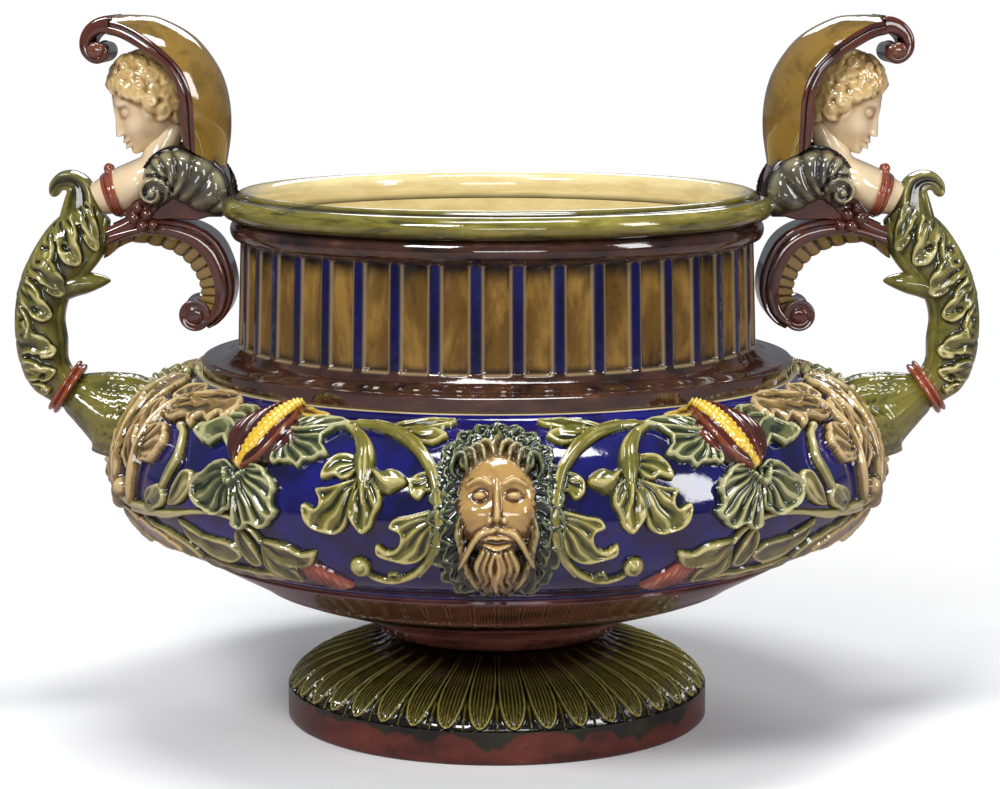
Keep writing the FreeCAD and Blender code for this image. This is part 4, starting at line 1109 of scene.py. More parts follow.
def mask_strands(c):
    """Moustache and upper beard, strand by strand, and locks over the forehead."""
    for way in (-1, 1):
        for k in range(4):
            c.roll([(way * (18.6 - 0.8 * k), 9 - 6.5 * k), (way * (20.4 - 1.6 * k), 0 - 6.5 * k),
                (way * (18.5 - 2.6 * k), -11 - 6 * k), (way * (21 - 3.4 * k), -21 - 5 * k)],
                [1.2, 2.6, 2.4, 0.6], [8.5, 10.8, 10.4, 7.0], tone=0.75 - 0.08 * k, groove=0.6, steps=24)
        for k, x in enumerate((1.8, 5.2, 8.6)):
            c.roll([(way * x * 0.8, -9.0 + 0.5 * k), (way * (x + 1.8), -16), (way * (x + 0.2), -24),
                (way * (x * 1.3 + 2.4), -34 + 2.6 * k)], [1.8, 2.7, 2.4, 0.6], [12.8, 12.9, 10.6, 6.8],
                tone=0.10 + 0.14 * k, groove=0.7, steps=24)
        for k in range(3):
            c.roll([(way * 1.2, 2.2 - 0.4 * k), (way * (8 + k), 0.8 - 1.4 * k),
                (way * (13.5 + 1.6 * k), -6.0 - 3.0 * k), (way * (16.0 + 2.4 * k), -14 - 2.6 * k)],
                [1.2, 2.1, 2.0, 0.6], [13.8, 14.1, 12.6, 9.8], tone=0.12 + 0.14 * k, groove=0.5, steps=24)
    c.roll([(0, -9.0), (1.2, -17), (-0.8, -26), (0.8, -40)], [1.8, 2.7, 2.4, 0.6], [13, 13.3, 11, 6.4],
        tone=0.1, groove=0.7, steps=24)
    for way in (-1, 1):
        for k in range(4):
            x = 1.5 + 4.8 * k
            c.roll([(way * x, 35.5 - 2.2 * k), (way * (x + 1.8), 42 - 2.0 * k),
                (way * (x + 6.4), 44 - 2.6 * k), (way * (x + 8.6), 39.5 - 3.2 * k),
                (way * (x + 6.2), 36.5 - 3.4 * k)], [1.5, 2.8, 2.6, 1.9, 0.8],
                [11.6, 13.0, 12.6, 11.6, 10.2], tone=0.55 + 0.13 * k, groove=0.5, steps=36)
    c.roll([(0, 36), (-1.5, 43), (1.5, 50), (0, 57)], [1.8, 3.4, 2.8, 0.8], [12, 12.8, 10, 7], tone=0.75,
        groove=0.6)


def make_masks():
    """Bearded leaf masks, front and back, darker and greener away from the face."""
    c = Clay(-40, 40, -46, 74, 0.6)
    mask_leaves(c)
    mask_face(c)
    mask_strands(c)
    reach = np.hypot(c.s / 25, (c.t - 6) / 40)
    c.tone = np.clip(np.maximum(c.tone, (reach - 0.86) * 5), 0, 1)
    glaze = relief_glaze("mask_face", (0.090, 0.040, 0.010), (0.410, 0.250, 0.078), (0.640, 0.450, 0.190),
        mottle=(0.290, 0.170, 0.052),
        other=((0.002, 0.004, 0.003), (0.010, 0.019, 0.009), (0.130, 0.145, 0.060)))
    for name, way in (("mask_front", 1), ("mask_back", -1)):
        piece = pressed(name + "_relief", c, on_belly(way, way), 17.0, soft=0.4, back=-2.0)
        dress(piece, glaze, "mask_glaze", name)


def make_side_bosses(glaze):
    """Leaf boss with a round fruit, where the handle's root meets the belly."""
    c = Clay(-30, 30, -44, 22, 0.7)
    for i in range(7):
        a = math.radians(180 + 30 * i)
        over, up = math.cos(a), math.sin(a)
        c.leaf([(0, -8), (11 * over, -8 + 13 * up), (25 * over, -8 + 32 * up)], [3.0, 6.4, 5.4, 0.7], 6.6,
            teeth=4, ribs=4.0)
    for i in range(6):
        a = math.radians(30 + 60 * i)
        c.dab(6.4 * math.cos(a), -8 + 6.4 * math.sin(a), 4.4, 8.0)
    c.dab(0, -8, 5.4, 9.6)
    for side, way in SIDES.items():
        piece = pressed("side_boss_" + side, c, on_belly(way, 1, math.pi / 2), 10.0, flip=way < 0)
        dress(piece, glaze, "buff_glaze", "side_mask_" + side)


make_masks()
make_side_bosses(buff_glaze)


# ================================================================ handles
# Laid out in millimetres from the rim roll, as seen from the front on the right.
def at(dx, dz):
    """Place in the handle's plane."""
    return (RIM_R / MM + dx, RIM_Z / MM + dz)


def from_rim(*rows):
    """Rows of x, z pairs measured from the rim roll, some with a width at the end."""
    out = []
    for row in rows:
        pairs = len(row) // 2 * 2
        out.append(tuple(v + (RIM_R, RIM_Z)[i % 2] / MM if i < pairs else v for i, v in enumerate(row)))
    return out


def tube(name, rings, way, fields, angle=60, folded=False):
    """Closed skin over a row of rings (rows, around, 3), in millimetres.

    The ends of a folded ring, one that runs out and back, are closed between its two halves.
    """
    rings = np.asarray(rings, float)
    rows, around = rings.shape[:2]
    verts = rings.reshape(-1, 3) * MM
    verts[:, 0] *= way
    quads = grid_faces(rows, around, wrap=True).tolist()
    n = rows * around
    if folded:
        for j in range(around // 2 - 1):
            quads.append([j + 1, j, around - 1 - j, around - 2 - j])
            quads.append([n - around + j, n - around + j + 1, n - 2 - j, n - 1 - j])
    else:
        quads.append(list(range(around))[::-1])
        quads.append(list(range(n - around, n)))
    values = {k: np.broadcast_to(grid, (rows, around)) for k, grid in fields.items()}
    piece = new_piece(name, verts, quads, values)
    outward(piece)
    smooth(piece, angle)
    return piece


def bar(name, line, half, way, bevel, fields, folded=False):
    """Closed line in the handle's plane, carried across it, with rounded arrises."""
    ahead, behind = np.roll(line, -1, 0), np.roll(line, 1, 0)
    d = ahead - behind
    d /= np.maximum(np.hypot(d[:, 0], d[:, 1]), 1e-6)[:, None]
    area = (line[:, 0] * ahead[:, 1] - ahead[:, 0] * line[:, 1]).sum()
    inward = np.stack([-d[:, 1], d[:, 0]], 1) * np.sign(area)
    steps = []
    for degrees in (90, 60, 30, 0):
        a = math.radians(degrees)
        steps.append((-half + bevel * (1 - math.sin(a)), bevel * (1 - math.cos(a))))
    steps += [(-half * 0.3, 0), (half * 0.3, 0)]
    steps += [(-y, off) for y, off in steps[3::-1]]
    rings = []
    for y, off in steps:
        p = line + inward * off
        rings.append(np.stack([p[:, 0], np.full(len(p), y), p[:, 1]], 1))
    return tube(name, rings, way, fields, folded=folded)


def pair(name, rings, fields, glaze, slot, node="", angle=60, folded=False):
    """The same tube on both handles, the left one a mirror image; %s in a name is the side."""
    for side, way in SIDES.items():
        piece = tube(name % side, rings, way, fields, angle, folded)
        dress(piece, glaze, slot, *([node % side] if node else []))


def stacked(middle, rows, around):
    """Round rings across the handle about a middle, from rows of (radius, place across)."""
    a = circle(around)
    x, z = middle
    return [np.stack([x + r * np.cos(a), np.full(around, y), z + r * np.sin(a)], 1) for r, y in rows]


def oval(row, around, bulge=1.0):
    """Oval across the handle from a row: inner edge x, z, outer edge x, z, half its width."""
    lx, lz, hx, hz, half = row
    a = circle(around)
    c, s = np.cos(a), np.sin(a)
    c = np.sign(c) * np.abs(c) ** bulge
    s = np.sign(s) * np.abs(s) ** bulge
    return np.stack([(lx + hx) / 2 + (lx - hx) / 2 * c, -half * s, (lz + hz) / 2 + (lz - hz) / 2 * c], 1)


def sampled(clay, grid, s, t):
    """Value of a board's grid at any place on it."""
    x = np.clip((s - clay.s[0, 0]) / clay.pitch, 0, clay.s.shape[1] - 1.001)
    y = np.clip((t - clay.t[0, 0]) / clay.pitch, 0, clay.s.shape[0] - 1.001)
    i, j = x.astype(int), y.astype(int)
    fx, fy = x - i, y - j
    return (grid[j, i] * (1 - fx) * (1 - fy) + grid[j, i + 1] * fx * (1 - fy)
            + grid[j + 1, i] * (1 - fx) * fy + grid[j + 1, i + 1] * fx * fy)


def carved_tube(name, rows, clay, width, way, height):
    """Oval tube that carries a board of relief on each side, from inner to outer edge."""
    a = circle(120)
    half_turn = np.minimum(a, 2 * math.pi - a) / math.pi        # 0 inner edge, 1 outer edge
    t = np.linspace(0, 1, len(rows))[:, None] * (clay.t[-1, 0] - clay.t[0, 0]) + clay.t[0, 0]
    s, t = np.broadcast_arrays(half_turn[None, :] * width, t)
    h = blurred(clay.h, 0.5 / clay.pitch)
    rise = np.maximum(sampled(clay, h, s, t), -0.5) - height
    values = {k: sampled(clay, v, s, t) for k, v in relief_fields(clay, h, height).items()}
    rings = []
    for i, (lx, lz, hx, hz, half) in enumerate(rows):
        reach = np.array([lx - hx, lz - hz]) / 2
        length = np.hypot(*reach)
        ux, uz = reach / length
        along = (length + rise[i]) * np.cos(a)
        across = (half + rise[i]) * np.sin(a)
        rings.append(np.stack([(lx + hx) / 2 + ux * along, -across, (lz + hz) / 2 + uz * along], 1))
    return tube(name, rings, way, values, angle=80)


ARM_ROWS = from_rim((89, -89, 105, -113, 17.2), (91, -83, 117, -104, 18.5), (90.5, -72, 125, -86, 18.5),
    (91.5, -60, 127, -62, 18.5), (88, -48, 124, -41, 18.1), (80, -39, 118, -25, 17.6),
    (71, -29, 106, -6, 17.0), (66, -20, 92, 7, 15.7), (64, -5, 82, 15, 13.3))


def make_arms(glaze):
    """Arm with a smooth back, leaves that turn in over its sides, and a thorn in its bend."""
    length = 172.0
    c = Clay(0, 58, 0, length, 0.75, ground=0.0)
    # a smooth back and a plain inner strip, then soft curled leaves in three tiers
    c.roll([(58, 0), (58, length * 0.5), (58, length)], [13.0, 14.0, 12.0], 3.4, power=0.5)
    c.roll([(5, 0), (4, 60), (5, 120), (8, length)], [6.0, 7.0, 7.0], 1.8, power=0.6)
    for t, grow in ((26, 0.92), (76, 1.06), (130, 1.10)):
        def spot(s, d):
            return (58 - (58 - s) * min(grow, 1.0), t + d * grow)

        c.lobe([spot(*q) for q in ((57, 34), (46, 38), (32, 36), (20, 27), (13, 14), (17, 7), (26, 11),
            (36, 18), (46, 20), (56, 22))], 4.4, spot(58, 30), notches=7, bite=1.6, dish=0.30, ribs=8,
            rib=0.45)
        c.lobe([spot(*q) for q in ((57, 22), (46, 20), (34, 13), (24, 3), (18, -6), (24, -12), (34, -8),
            (45, 0), (56, 6))], 5.0, spot(58, 16), notches=6, bite=1.8, dish=0.34, ribs=8, rib=0.45)
        c.lobe([spot(*q) for q in ((57, 8), (49, 4), (40, -4), (34, -14), (38, -22), (46, -20), (53, -10),
            (57, -4))], 4.4, spot(58, 4), notches=4, bite=1.6, dish=0.34, ribs=8, rib=0.45)
        for s0, d, r in ((18, 12, 4.2), (22, -7, 4.6), (38, -18, 3.8)):
            here = spot(s0, d)
            c.dab(*here, r, 5.2, power=0.45)
            c.h = c.h - 2.6 * np.exp(-(np.hypot(c.s - here[0] - 1.0, c.t - here[1] - 0.6) / 1.3) ** 2)
        for s0, d, r in ((31, 15, 2.0), (33, -3, 2.2), (44, -9, 1.8)):
            here = spot(s0, d)
            c.h = c.h - 4.6 * np.exp(-(np.hypot((c.s - here[0]) / 1.5, c.t - here[1]) / r) ** 2)
        c.score([spot(57, 30), spot(40, 28), spot(24, 18)], 0.6, 1.2)
        c.score([spot(57, 15), spot(42, 10), spot(27, -4)], 0.6, 1.2)
    rows = bend(ARM_ROWS, 230)
    for side, way in SIDES.items():
        piece = carved_tube("arm_" + side + "_leafy", rows, c, 58.0, way, 5.0)
        dress(piece, glaze, "leaf_glaze", "arm_" + side)
    # thorn on the inside of the bend
    thorn = bend(from_rim((98, -52, 101, -36, 10.4), (88, -48, 91, -33, 10.2), (81, -46, 84, -32.5, 9.6),
        (75, -43.5, 76.5, -33.6, 8.0), (70, -41, 70.6, -35.2, 5.0), (67, -39, 67.2, -37.4, 1.6)), 30)
    rings = [oval(row, 28) for row in thorn]
    pair("arm_thorn_%s", rings, {"relief": 0.55, "tone": 0.0}, glaze, "leaf_glaze")


def make_arm_tips(glaze):
    """Curled end of the arm, pinched in down each cheek."""
    stations = bend(from_rim((70, 0, 99, -6, 10.8), (73, 9, 96, 4, 11.0), (75, 17.5, 93.5, 11.5, 11.0),
        (79.5, 24.6, 92, 15.6, 11.0), (87.5, 28.4, 93.5, 16.4, 10.8), (95.8, 27.4, 95.4, 15.6, 10.4),
        (101.6, 21.8, 96.6, 13.8, 9.6), (102.6, 16.4, 98.2, 12.6, 8.0), (101.4, 13.6, 99.8, 12.6, 5.6)),
        72)
    rings, relief = [], []
    a = circle(64)
    for i, row in enumerate(stations):
        k = i / (len(stations) - 1)
        ring = oval(row, 64, 0.8)
        wave = 0.5 + 0.5 * np.cos(7 * a)
        mid = ring.mean(0)
        grown = math.sin(math.pi * min(1, k * 1.15)) ** 0.6
        cheek = np.exp(-((np.abs(np.sin(a)) - 1) / 0.22) ** 2) * grown
        ring = mid + (ring - mid) * (1 - 0.30 * cheek - 0.05 * (1 - wave))[:, None]
        rings.append(ring)
        relief.append(0.46 + 0.14 * wave - 0.30 * cheek)
    pair("arm_tip_curl_%s", rings, {"relief": relief, "tone": 0.0}, glaze, "leaf_glaze", "arm_tip_%s")


HOOD_ROWS = from_rim((-4, 31, 12, 40, 26.0), (-7, 52, 12, 56, 31.0), (-6, 72, 13, 74, 33.0),
    (0, 90, 18.5, 89, 33.0), (14, 108, 29.5, 101, 32.0), (34, 119, 42, 110, 29.0),
    (49, 120.9, 52.4, 115.4, 25.8), (60, 120.9, 61, 117.8, 24.0))


def hood_arc(depth, half, share):
    """Across and out, on the arc through both edges and the ridge."""
    radius = (half ** 2 + depth ** 2) / (2 * depth)
    open_angle = math.asin(min(half / radius, 1))
    if depth > half:
        open_angle = math.pi - open_angle
    a = share * open_angle
    return radius * np.sin(a), radius * np.cos(a) - (radius - depth)


def make_hood_shells():
    """Bent shell over the head, smooth outside and ribbed across inside."""
    stations = bend(HOOD_ROWS, 120)
    across = np.linspace(-1, 1, 41)
    rings, relief, tone = [], [], []
    for i, (rx, rz, ex, ez, half) in enumerate(stations):
        k = i / (len(stations) - 1)
        depth = math.hypot(rx - ex, rz - ez)
        ux, uz = (rx - ex) / depth, (rz - ez) / depth
        y, d = hood_arc(depth - 0.1, half - 0.1, across)
        outer = np.stack([ex + ux * d, y, ez + uz * d], 1)
        y2, d2 = hood_arc(max(depth - 5.0, depth * 0.55), half - 5.5, across[::-1])
        # cross ribs on the inside, strongest near the edge
        wave = abs(math.sin(math.pi * k * 15))
        rib = min(1.5, depth * 0.12) * wave ** 0.6 * np.clip(np.abs(across) * 1.5 - 0.15, 0, 1)
        d2 = d2 - rib
        inner = np.stack([ex + ux * d2, y2, ez + uz * d2], 1)
        rings.append(np.concatenate([outer, inner]))
        relief.append(np.repeat([0.50, 0.22 + 0.5 * wave], len(across)))
        tone.append(np.repeat([0.0, 1.0], len(across)))
    glaze = relief_glaze("hood_ochre", (0.050, 0.026, 0.006), (0.235, 0.138, 0.024),
        (0.420, 0.280, 0.080), mottle=(0.135, 0.080, 0.016), gloss=0.06, bump=0.15,
        other=((0.040, 0.026, 0.008), (0.290, 0.205, 0.060), (0.500, 0.400, 0.170)))
    pair("hood_shell_%s", rings, {"relief": relief, "tone": tone}, glaze, "ochre_glaze", "hood_%s", 50,
        folded=True)


def make_hood_edges():
    """Moulded brown edge: a roll and a fillet down each side, one curl across the tip."""
    umber = relief_glaze("edge_umber", (0.016, 0.006, 0.004), (0.085, 0.022, 0.012),
        (0.260, 0.110, 0.055), mottle=(0.045, 0.016, 0.014), gloss=0.05, bump=0.12)
    profile = [(0.0, 0.3), (1.0, 0.0), (2.6, 0.0), (3.2, 0.7), (3.9, 0.0), (5.6, -0.2), (7.4, 0.4),
        (8.4, 2.0), (8.4, 4.0), (7.4, 5.4), (5.6, 6.0), (3.6, 5.6), (2.6, 6.0), (1.0, 6.0), (0.0, 5.6)]
    out, deep = bend(profile + profile[:1], 60)[:-1].T
    relief = 0.42 + 0.20 * np.exp(-((out - 5.5) / 1.6) ** 2) - 0.4 * np.exp(-((out - 3.2) / 0.5) ** 2)
    for part, front in (("front", -1), ("back", 1)):
        rings = []
        for rx, rz, ex, ez, half in bend(HOOD_ROWS, 60):
            depth = math.hypot(rx - ex, rz - ez)
            dx, dz = -(rx - ex) / depth, -(rz - ez) / depth
            rings.append(np.stack([ex + dx * out, front * (half - deep), ez + dz * out], 1))
        node = "hood_edge_%s" if front < 0 else ""
        pair("hood_edge_" + part + "_%s", rings, {"relief": relief, "tone": 0.0}, umber, "umber_glaze",
            node)
    outer = from_rim((60, 120.9), (66, 120.3), (72, 117.8), (77, 113), (79.6, 106.5), (79, 99.5),
        (75, 94.4), (69.5, 92.4), (64.6, 94.6), (62.8, 99), (64.2, 103), (67.6, 104.6), (70.6, 103))
    inner = from_rim((61, 109.4), (66, 110.4), (70, 109), (73, 106.2), (74.2, 102.6), (73.6, 99.6),
        (71.6, 97.8), (69, 97.4), (67.3, 98.8), (67.0, 100.4), (67.8, 101.4), (69, 101.4), (69.6, 101))
    loop = np.concatenate([bend(outer, 96), bend(inner, 96)[::-1]])
    for side, way in SIDES.items():
        piece = bar("hood_curl_" + side, loop, 23.9, way, 2.0, {"relief": 0.46, "tone": 0.0}, folded=True)
        dress(piece, umber, "umber_glaze")
    for end, front in (("f", -1), ("b", 1)):
        button = [(4.6, 18), (4.8, 22.6), (4.4, 24.4), (3.2, 25.0), (1.2, 25.3)]
        rings = stacked(at(70.4, 100.5), [(r, front * y) for r, y in button], 28)
        pair("hood_button_%s_" + end, rings, {"relief": 0.66, "tone": 0.0}, umber, "umber_glaze")
    return umber


def make_scrolls():
    """C-scroll: rolled brown sides, ribbed golden bed, coiled end."""
    outer = from_rim((64, -5), (46, -2), (30, 0), (12, -4), (0, -13), (-7, -28), (-9, -42), (-6, -54),
        (0, -61.5), (6, -65))
    inner = from_rim((70, -25), (55, -15), (39, -16.5), (27, -21), (18.5, -28.5), (13.6, -37), (12, -45),
        (12.6, -51), (14.5, -55), (16, -57))
    lines = bend([(*a, *b) for a, b in zip(outer, inner)], 150)
    half = 20.9
    side_line = [(-half + 4, 0.0), (-half + 1.6, 0.02), (-half + 0.6, 0.08), (-half + 1.2, 0.14),
        (-half + 1.6, 0.17), (-half + 0.5, 0.20), (-half, 0.28), (-half, 0.40), (-half + 0.6, 0.48),
        (-half + 1.6, 0.53), (-half + 3.2, 0.54)]
    bed = [(-half + 3.6, 0.56), (-half + 6.0, 0.70), (-half + 8.4, 0.86), (-half + 10.6, 0.985),
        (-5, 1.0), (0, 1.0)]
    corners = side_line + bed + [(-y, k) for y, k in (side_line + bed[:-1])[::-1]] + [(8, 0.0), (-8, 0.0)]
    corners = np.array(corners)
    halfway = (corners + np.roll(corners, -1, 0)) * 0.5
    # across the scroll in mm, and the share of the way from its outer to its inner line
    across, share = np.stack([corners, halfway], 1).reshape(-1, 2).T
    bedded = (np.abs(across) < 17.6) & (share > 0.5)
    back = share < 0.05
    roll = 0.46 + 0.10 * (np.abs(share - 0.34) < 0.07) - 0.2 * (np.abs(share - 0.17) < 0.03)
    rings, relief = [], []
    for i, (ox, oz, ix, iz) in enumerate(lines):
        k = i / (len(lines) - 1)
        wave = abs(math.sin(math.pi * k * 16)) ** 0.7
        sunk = 0.055 * (1 - wave) * np.clip((17.6 - np.abs(across)) / 3, 0, 1)
        deep = share - np.where(bedded, sunk, 0)
        rings.append(np.stack([ox + (ix - ox) * deep, across, oz + (iz - oz) * deep], 1))
        relief.append(np.where(bedded, 0.14 + 0.42 * wave, np.where(back, 0.5, roll)))
    glaze = relief_glaze("scroll_umber", (0.016, 0.006, 0.004), (0.085, 0.022, 0.012),
        (0.260, 0.110, 0.055), mottle=(0.060, 0.040, 0.044), gloss=0.05, bump=0.12,
        other=((0.030, 0.016, 0.005), (0.250, 0.160, 0.042), (0.440, 0.330, 0.130)))
    fields = {"relief": relief, "tone": bedded.astype(float)}
    pair("scroll_strap_%s", rings, fields, glaze, "umber_glaze", "scroll_%s", 70)
    end = [(9.3, 14), (9.6, 18.6), (9.2, 20.2), (8.2, 20.6), (6.6, 19.4), (5.3, 19.4), (4.9, 20.2),
        (4.0, 20.8), (2.0, 21.0)]
    other_end = [(r, -y) for r, y in end[::-1]]
    coil = stacked(at(14.5, -57.0), other_end + [(8.6, -12), (8.6, 12)] + end, 48)
    pair("scroll_coil_%s", coil, {"relief": 0.5, "tone": 0.0}, glaze, "umber_glaze")


def make_consoles(umber):
    """Block under the volute, with a moulded strap to the arm and a cluster of beads."""
    outline = from_rim((-6, 5), (-7, 14), (-4, 29), (4, 37), (16, 41), (28, 39), (37, 34), (43, 26),
        (48, 15), (54, 6), (57, 3.2), (46, -1.6), (30, 0.4), (14, 0), (5, 2))
    line = bend(outline + outline[:1], 90)[:-1]
    for side, way in SIDES.items():
        piece = bar("console_block_" + side, line, 18.9, way, 1.2, {"relief": 0.5, "tone": 0.0})
        dress(piece, umber, "umber_glaze", "console_" + side)
    strap = bend(from_rim((31, 17, 3.4), (37, 9, 3.8), (45, 2, 3.8), (56, -4, 3.6), (66, -8, 3.0)), 40)
    beads = [(38, -3, 3.6), (44.5, -3.6, 4.0), (49.5, 1.2, 3.9), (47, 7.2, 3.4), (42, 3.6, 4.0)]
    a = circle(28)
    threefold = 1 + 0.10 * np.cos(3 * a)
    for end, front in (("f", -1), ("b", 1)):
        rings = []
        for i, (x, z, r) in enumerate(strap):
            j = min(i + 1, len(strap) - 1)
            d = strap[j, :2] - strap[j - 1, :2]
            d = d / np.hypot(*d)
            rings.append(np.stack([x - d[1] * r * threefold * np.cos(a), front * (18.2 + 3.0 * np.sin(a)),
                z + d[0] * r * threefold * np.cos(a)], 1))
        pair("console_strap_%s_" + end, rings, {"relief": 0.45, "tone": 0.0}, umber, "umber_glaze")
        for n, (dx, dz, r) in enumerate(beads):
            rows = []
            for b in np.radians([4, 22, 40, 58, 76, 88]):
                rows.append((r * math.cos(b), front * (21.0 + 4.3 * math.sin(b))))
            node = "knot_%s" if n == 0 and front < 0 else ""
            pair("knot_bead_%s_" + end + str(n), stacked(at(dx, dz), rows, 28), {"relief": 0.55,
                "tone": 0.0}, umber, "umber_glaze", node)


def make_volutes():
    """Shell volute: ribs swirl out of an eye and spread over the rim."""
    c = Clay(154, 216, 302, 350, 0.55, ground=-1.0)
    ex, ez = at(37.5, 17)
    outline = from_rim((-8, 4), (-8, 14), (-5, 26), (3, 36), (15, 42), (27, 43), (37, 38.5), (44, 29),
        (46, 18), (43, 9.5), (37, 6.8), (31, 9.5), (26, 12), (21, 10), (12, 5), (3, 3))
    c.fill(outline, 15.4, edge=3.2)
    dx, dz = c.s - ex, c.t - ez
    r = np.hypot(dx, dz)
    angle = np.arctan2(dz, dx)
    # ribs follow a spiral that opens to the left
    phase = (angle + 1.15 * np.log(np.maximum(r, 2) / 8.0)) * 11 / (2 * math.pi)
    wave = np.abs(np.sin(math.pi * phase)) ** 0.7
    ribbed = np.clip((r - 8.5) / 3, 0, 1)
    scallop = 2.8 * (wave - 1) * ribbed
    turn = np.clip(1 - r / 44, 0, 1)
    c.h = np.where(c.h > 0, c.h + scallop - 2.4 * (1 - turn) * ribbed, c.h)
    groove = np.exp(-((r - 9.0 - 0.9 * angle) / 0.9) ** 2)
    c.h = np.where(c.h > 2, c.h - 2.6 * groove, c.h)
    c.dab(ex, ez, 5.0, 17.0, power=0.5)
    c.curl(ex, ez, 8.6, 16.6, turns=1.3, start=2.4, way=-1, width=0.34)
    c.h = np.minimum(c.h, 17.0)
    c.tone = np.clip((r - 20) / 22, 0, 1) * 0.6
    glaze = relief_glaze("volute_slate", (0.008, 0.006, 0.005), (0.060, 0.052, 0.030),
        (0.270, 0.245, 0.140), mottle=(0.034, 0.034, 0.036),
        other=((0.012, 0.010, 0.008), (0.100, 0.090, 0.055), (0.320, 0.290, 0.170)))
    for side, way in SIDES.items():
        for part, front in (("front", -1), ("back", 1)):
            def place(s, t, h, way=way, front=front):
                return np.stack([way * s, front * (19.0 + h), t], -1) * MM
            piece = pressed("volute_%s_shell_%s" % (part, side), c, place, 17.0, flip=way * front > 0,
                soft=0.4, back=-0.4)
            dress(piece, glaze, "slate_glaze", "volute_%s_%s" % (part, side))


BUST_ROWS = from_rim((69, 2, 78, 20, 12.0), (56, 3, 64, 29, 20.0), (42, 10, 53, 34, 24.0),
    (32, 24, 47, 37, 18.0), (27.4, 36, 44.6, 43, 12.6), (23, 46, 38.5, 52, 10.6), (21, 53, 35.5, 58, 9.6),
    (23, 57, 34, 61, 8.0))


def flesh_glaze():
    """Ivory skin, and golden hair where the clay's tone is 1."""
    n = Nodes("flesh_glaze")
    wander = n.noise(90, 4, 0.6)
    relief = n.sum(n.field("relief"), "Fac", wander, "Fac", 0.18, -0.09)
    skin = n.ramp(relief, 0, [(0.25, (0.420, 0.235, 0.100)), (0.45, (0.740, 0.560, 0.330)),
        (0.58, (0.790, 0.640, 0.420)), (0.80, (0.860, 0.740, 0.540))])
    hair = n.ramp(relief, 0, [(0.26, (0.180, 0.090, 0.022)), (0.46, (0.560, 0.370, 0.140)),
        (0.60, (0.680, 0.490, 0.220)), (0.78, (0.780, 0.620, 0.340))])
    return n.finish(n.mix(n.field("tone"), "Fac", skin, hair), 0.10, 0.12)


def make_busts(flesh):
    """Torso up to the neck, with a dress strap that three beads pin on top."""
    rows = bend(BUST_ROWS, 84)
    rust = relief_glaze("strap_rust", (0.070, 0.014, 0.008), (0.300, 0.070, 0.030), (0.480, 0.200, 0.110),
                        mottle=(0.210, 0.045, 0.022))
    rings = [oval(row, 56) for row in rows]
    pair("torso_%s", rings, {"relief": 0.52, "tone": 0.0}, flesh, "flesh_glaze", "bust_%s")
    band = bend(from_rim((63.4, 1.4, 71.8, 25.2, 17.2), (61.0, 1.0, 69.4, 26.8, 19.0),
        (58.6, 1.0, 66.8, 28.4, 20.4), (56.2, 1.8, 64.4, 29.8, 21.4)), 19)
    rings, relief = [], []
    for i, (lx, lz, hx, hz, half) in enumerate(band):
        k = i / (len(band) - 1)
        # puffed up between two folds
        puff = 1.0 * math.sin(math.pi * k) - 0.9 * math.exp(-((k - 0.36) / 0.09) ** 2)
        puff -= 0.7 * math.exp(-((k - 0.68) / 0.08) ** 2)
        rings.append(oval((lx, lz - puff, hx, hz + puff * 0.6, half + puff), 64))
        relief.append([0.52 - 0.3 * math.exp(-((k - 0.36) / 0.07) ** 2)])
    pair("strap_band_%s", rings, {"relief": relief, "tone": 0.0}, rust, "rust_glaze", "bust_strap_%s")
    a = circle(24)
    pins = [(66.5, 0, 29.4, 3.4), (66.0, 8.5, 27.6, 2.4), (66.0, -8.5, 27.6, 2.4)]
    for n, (dx, y, dz, r) in enumerate(pins):
        x, z = at(dx, dz)
        rings = []
        for b in np.radians([-80, -50, -20, 10, 40, 65, 84]):
            rings.append(np.stack([x + r * math.cos(b) * np.cos(a), y + r * math.cos(b) * np.sin(a),
                np.full(24, z + r * math.sin(b))], 1))
        pair("strap_bead_%s_" + str(n), rings, {"relief": 0.6, "tone": 0.0}, rust, "rust_glaze")
    return rust


HEAD_SCALE = 1.12
NOD, LOOK = math.radians(24), math.radians(16)     # face down, and round to the front of the pot


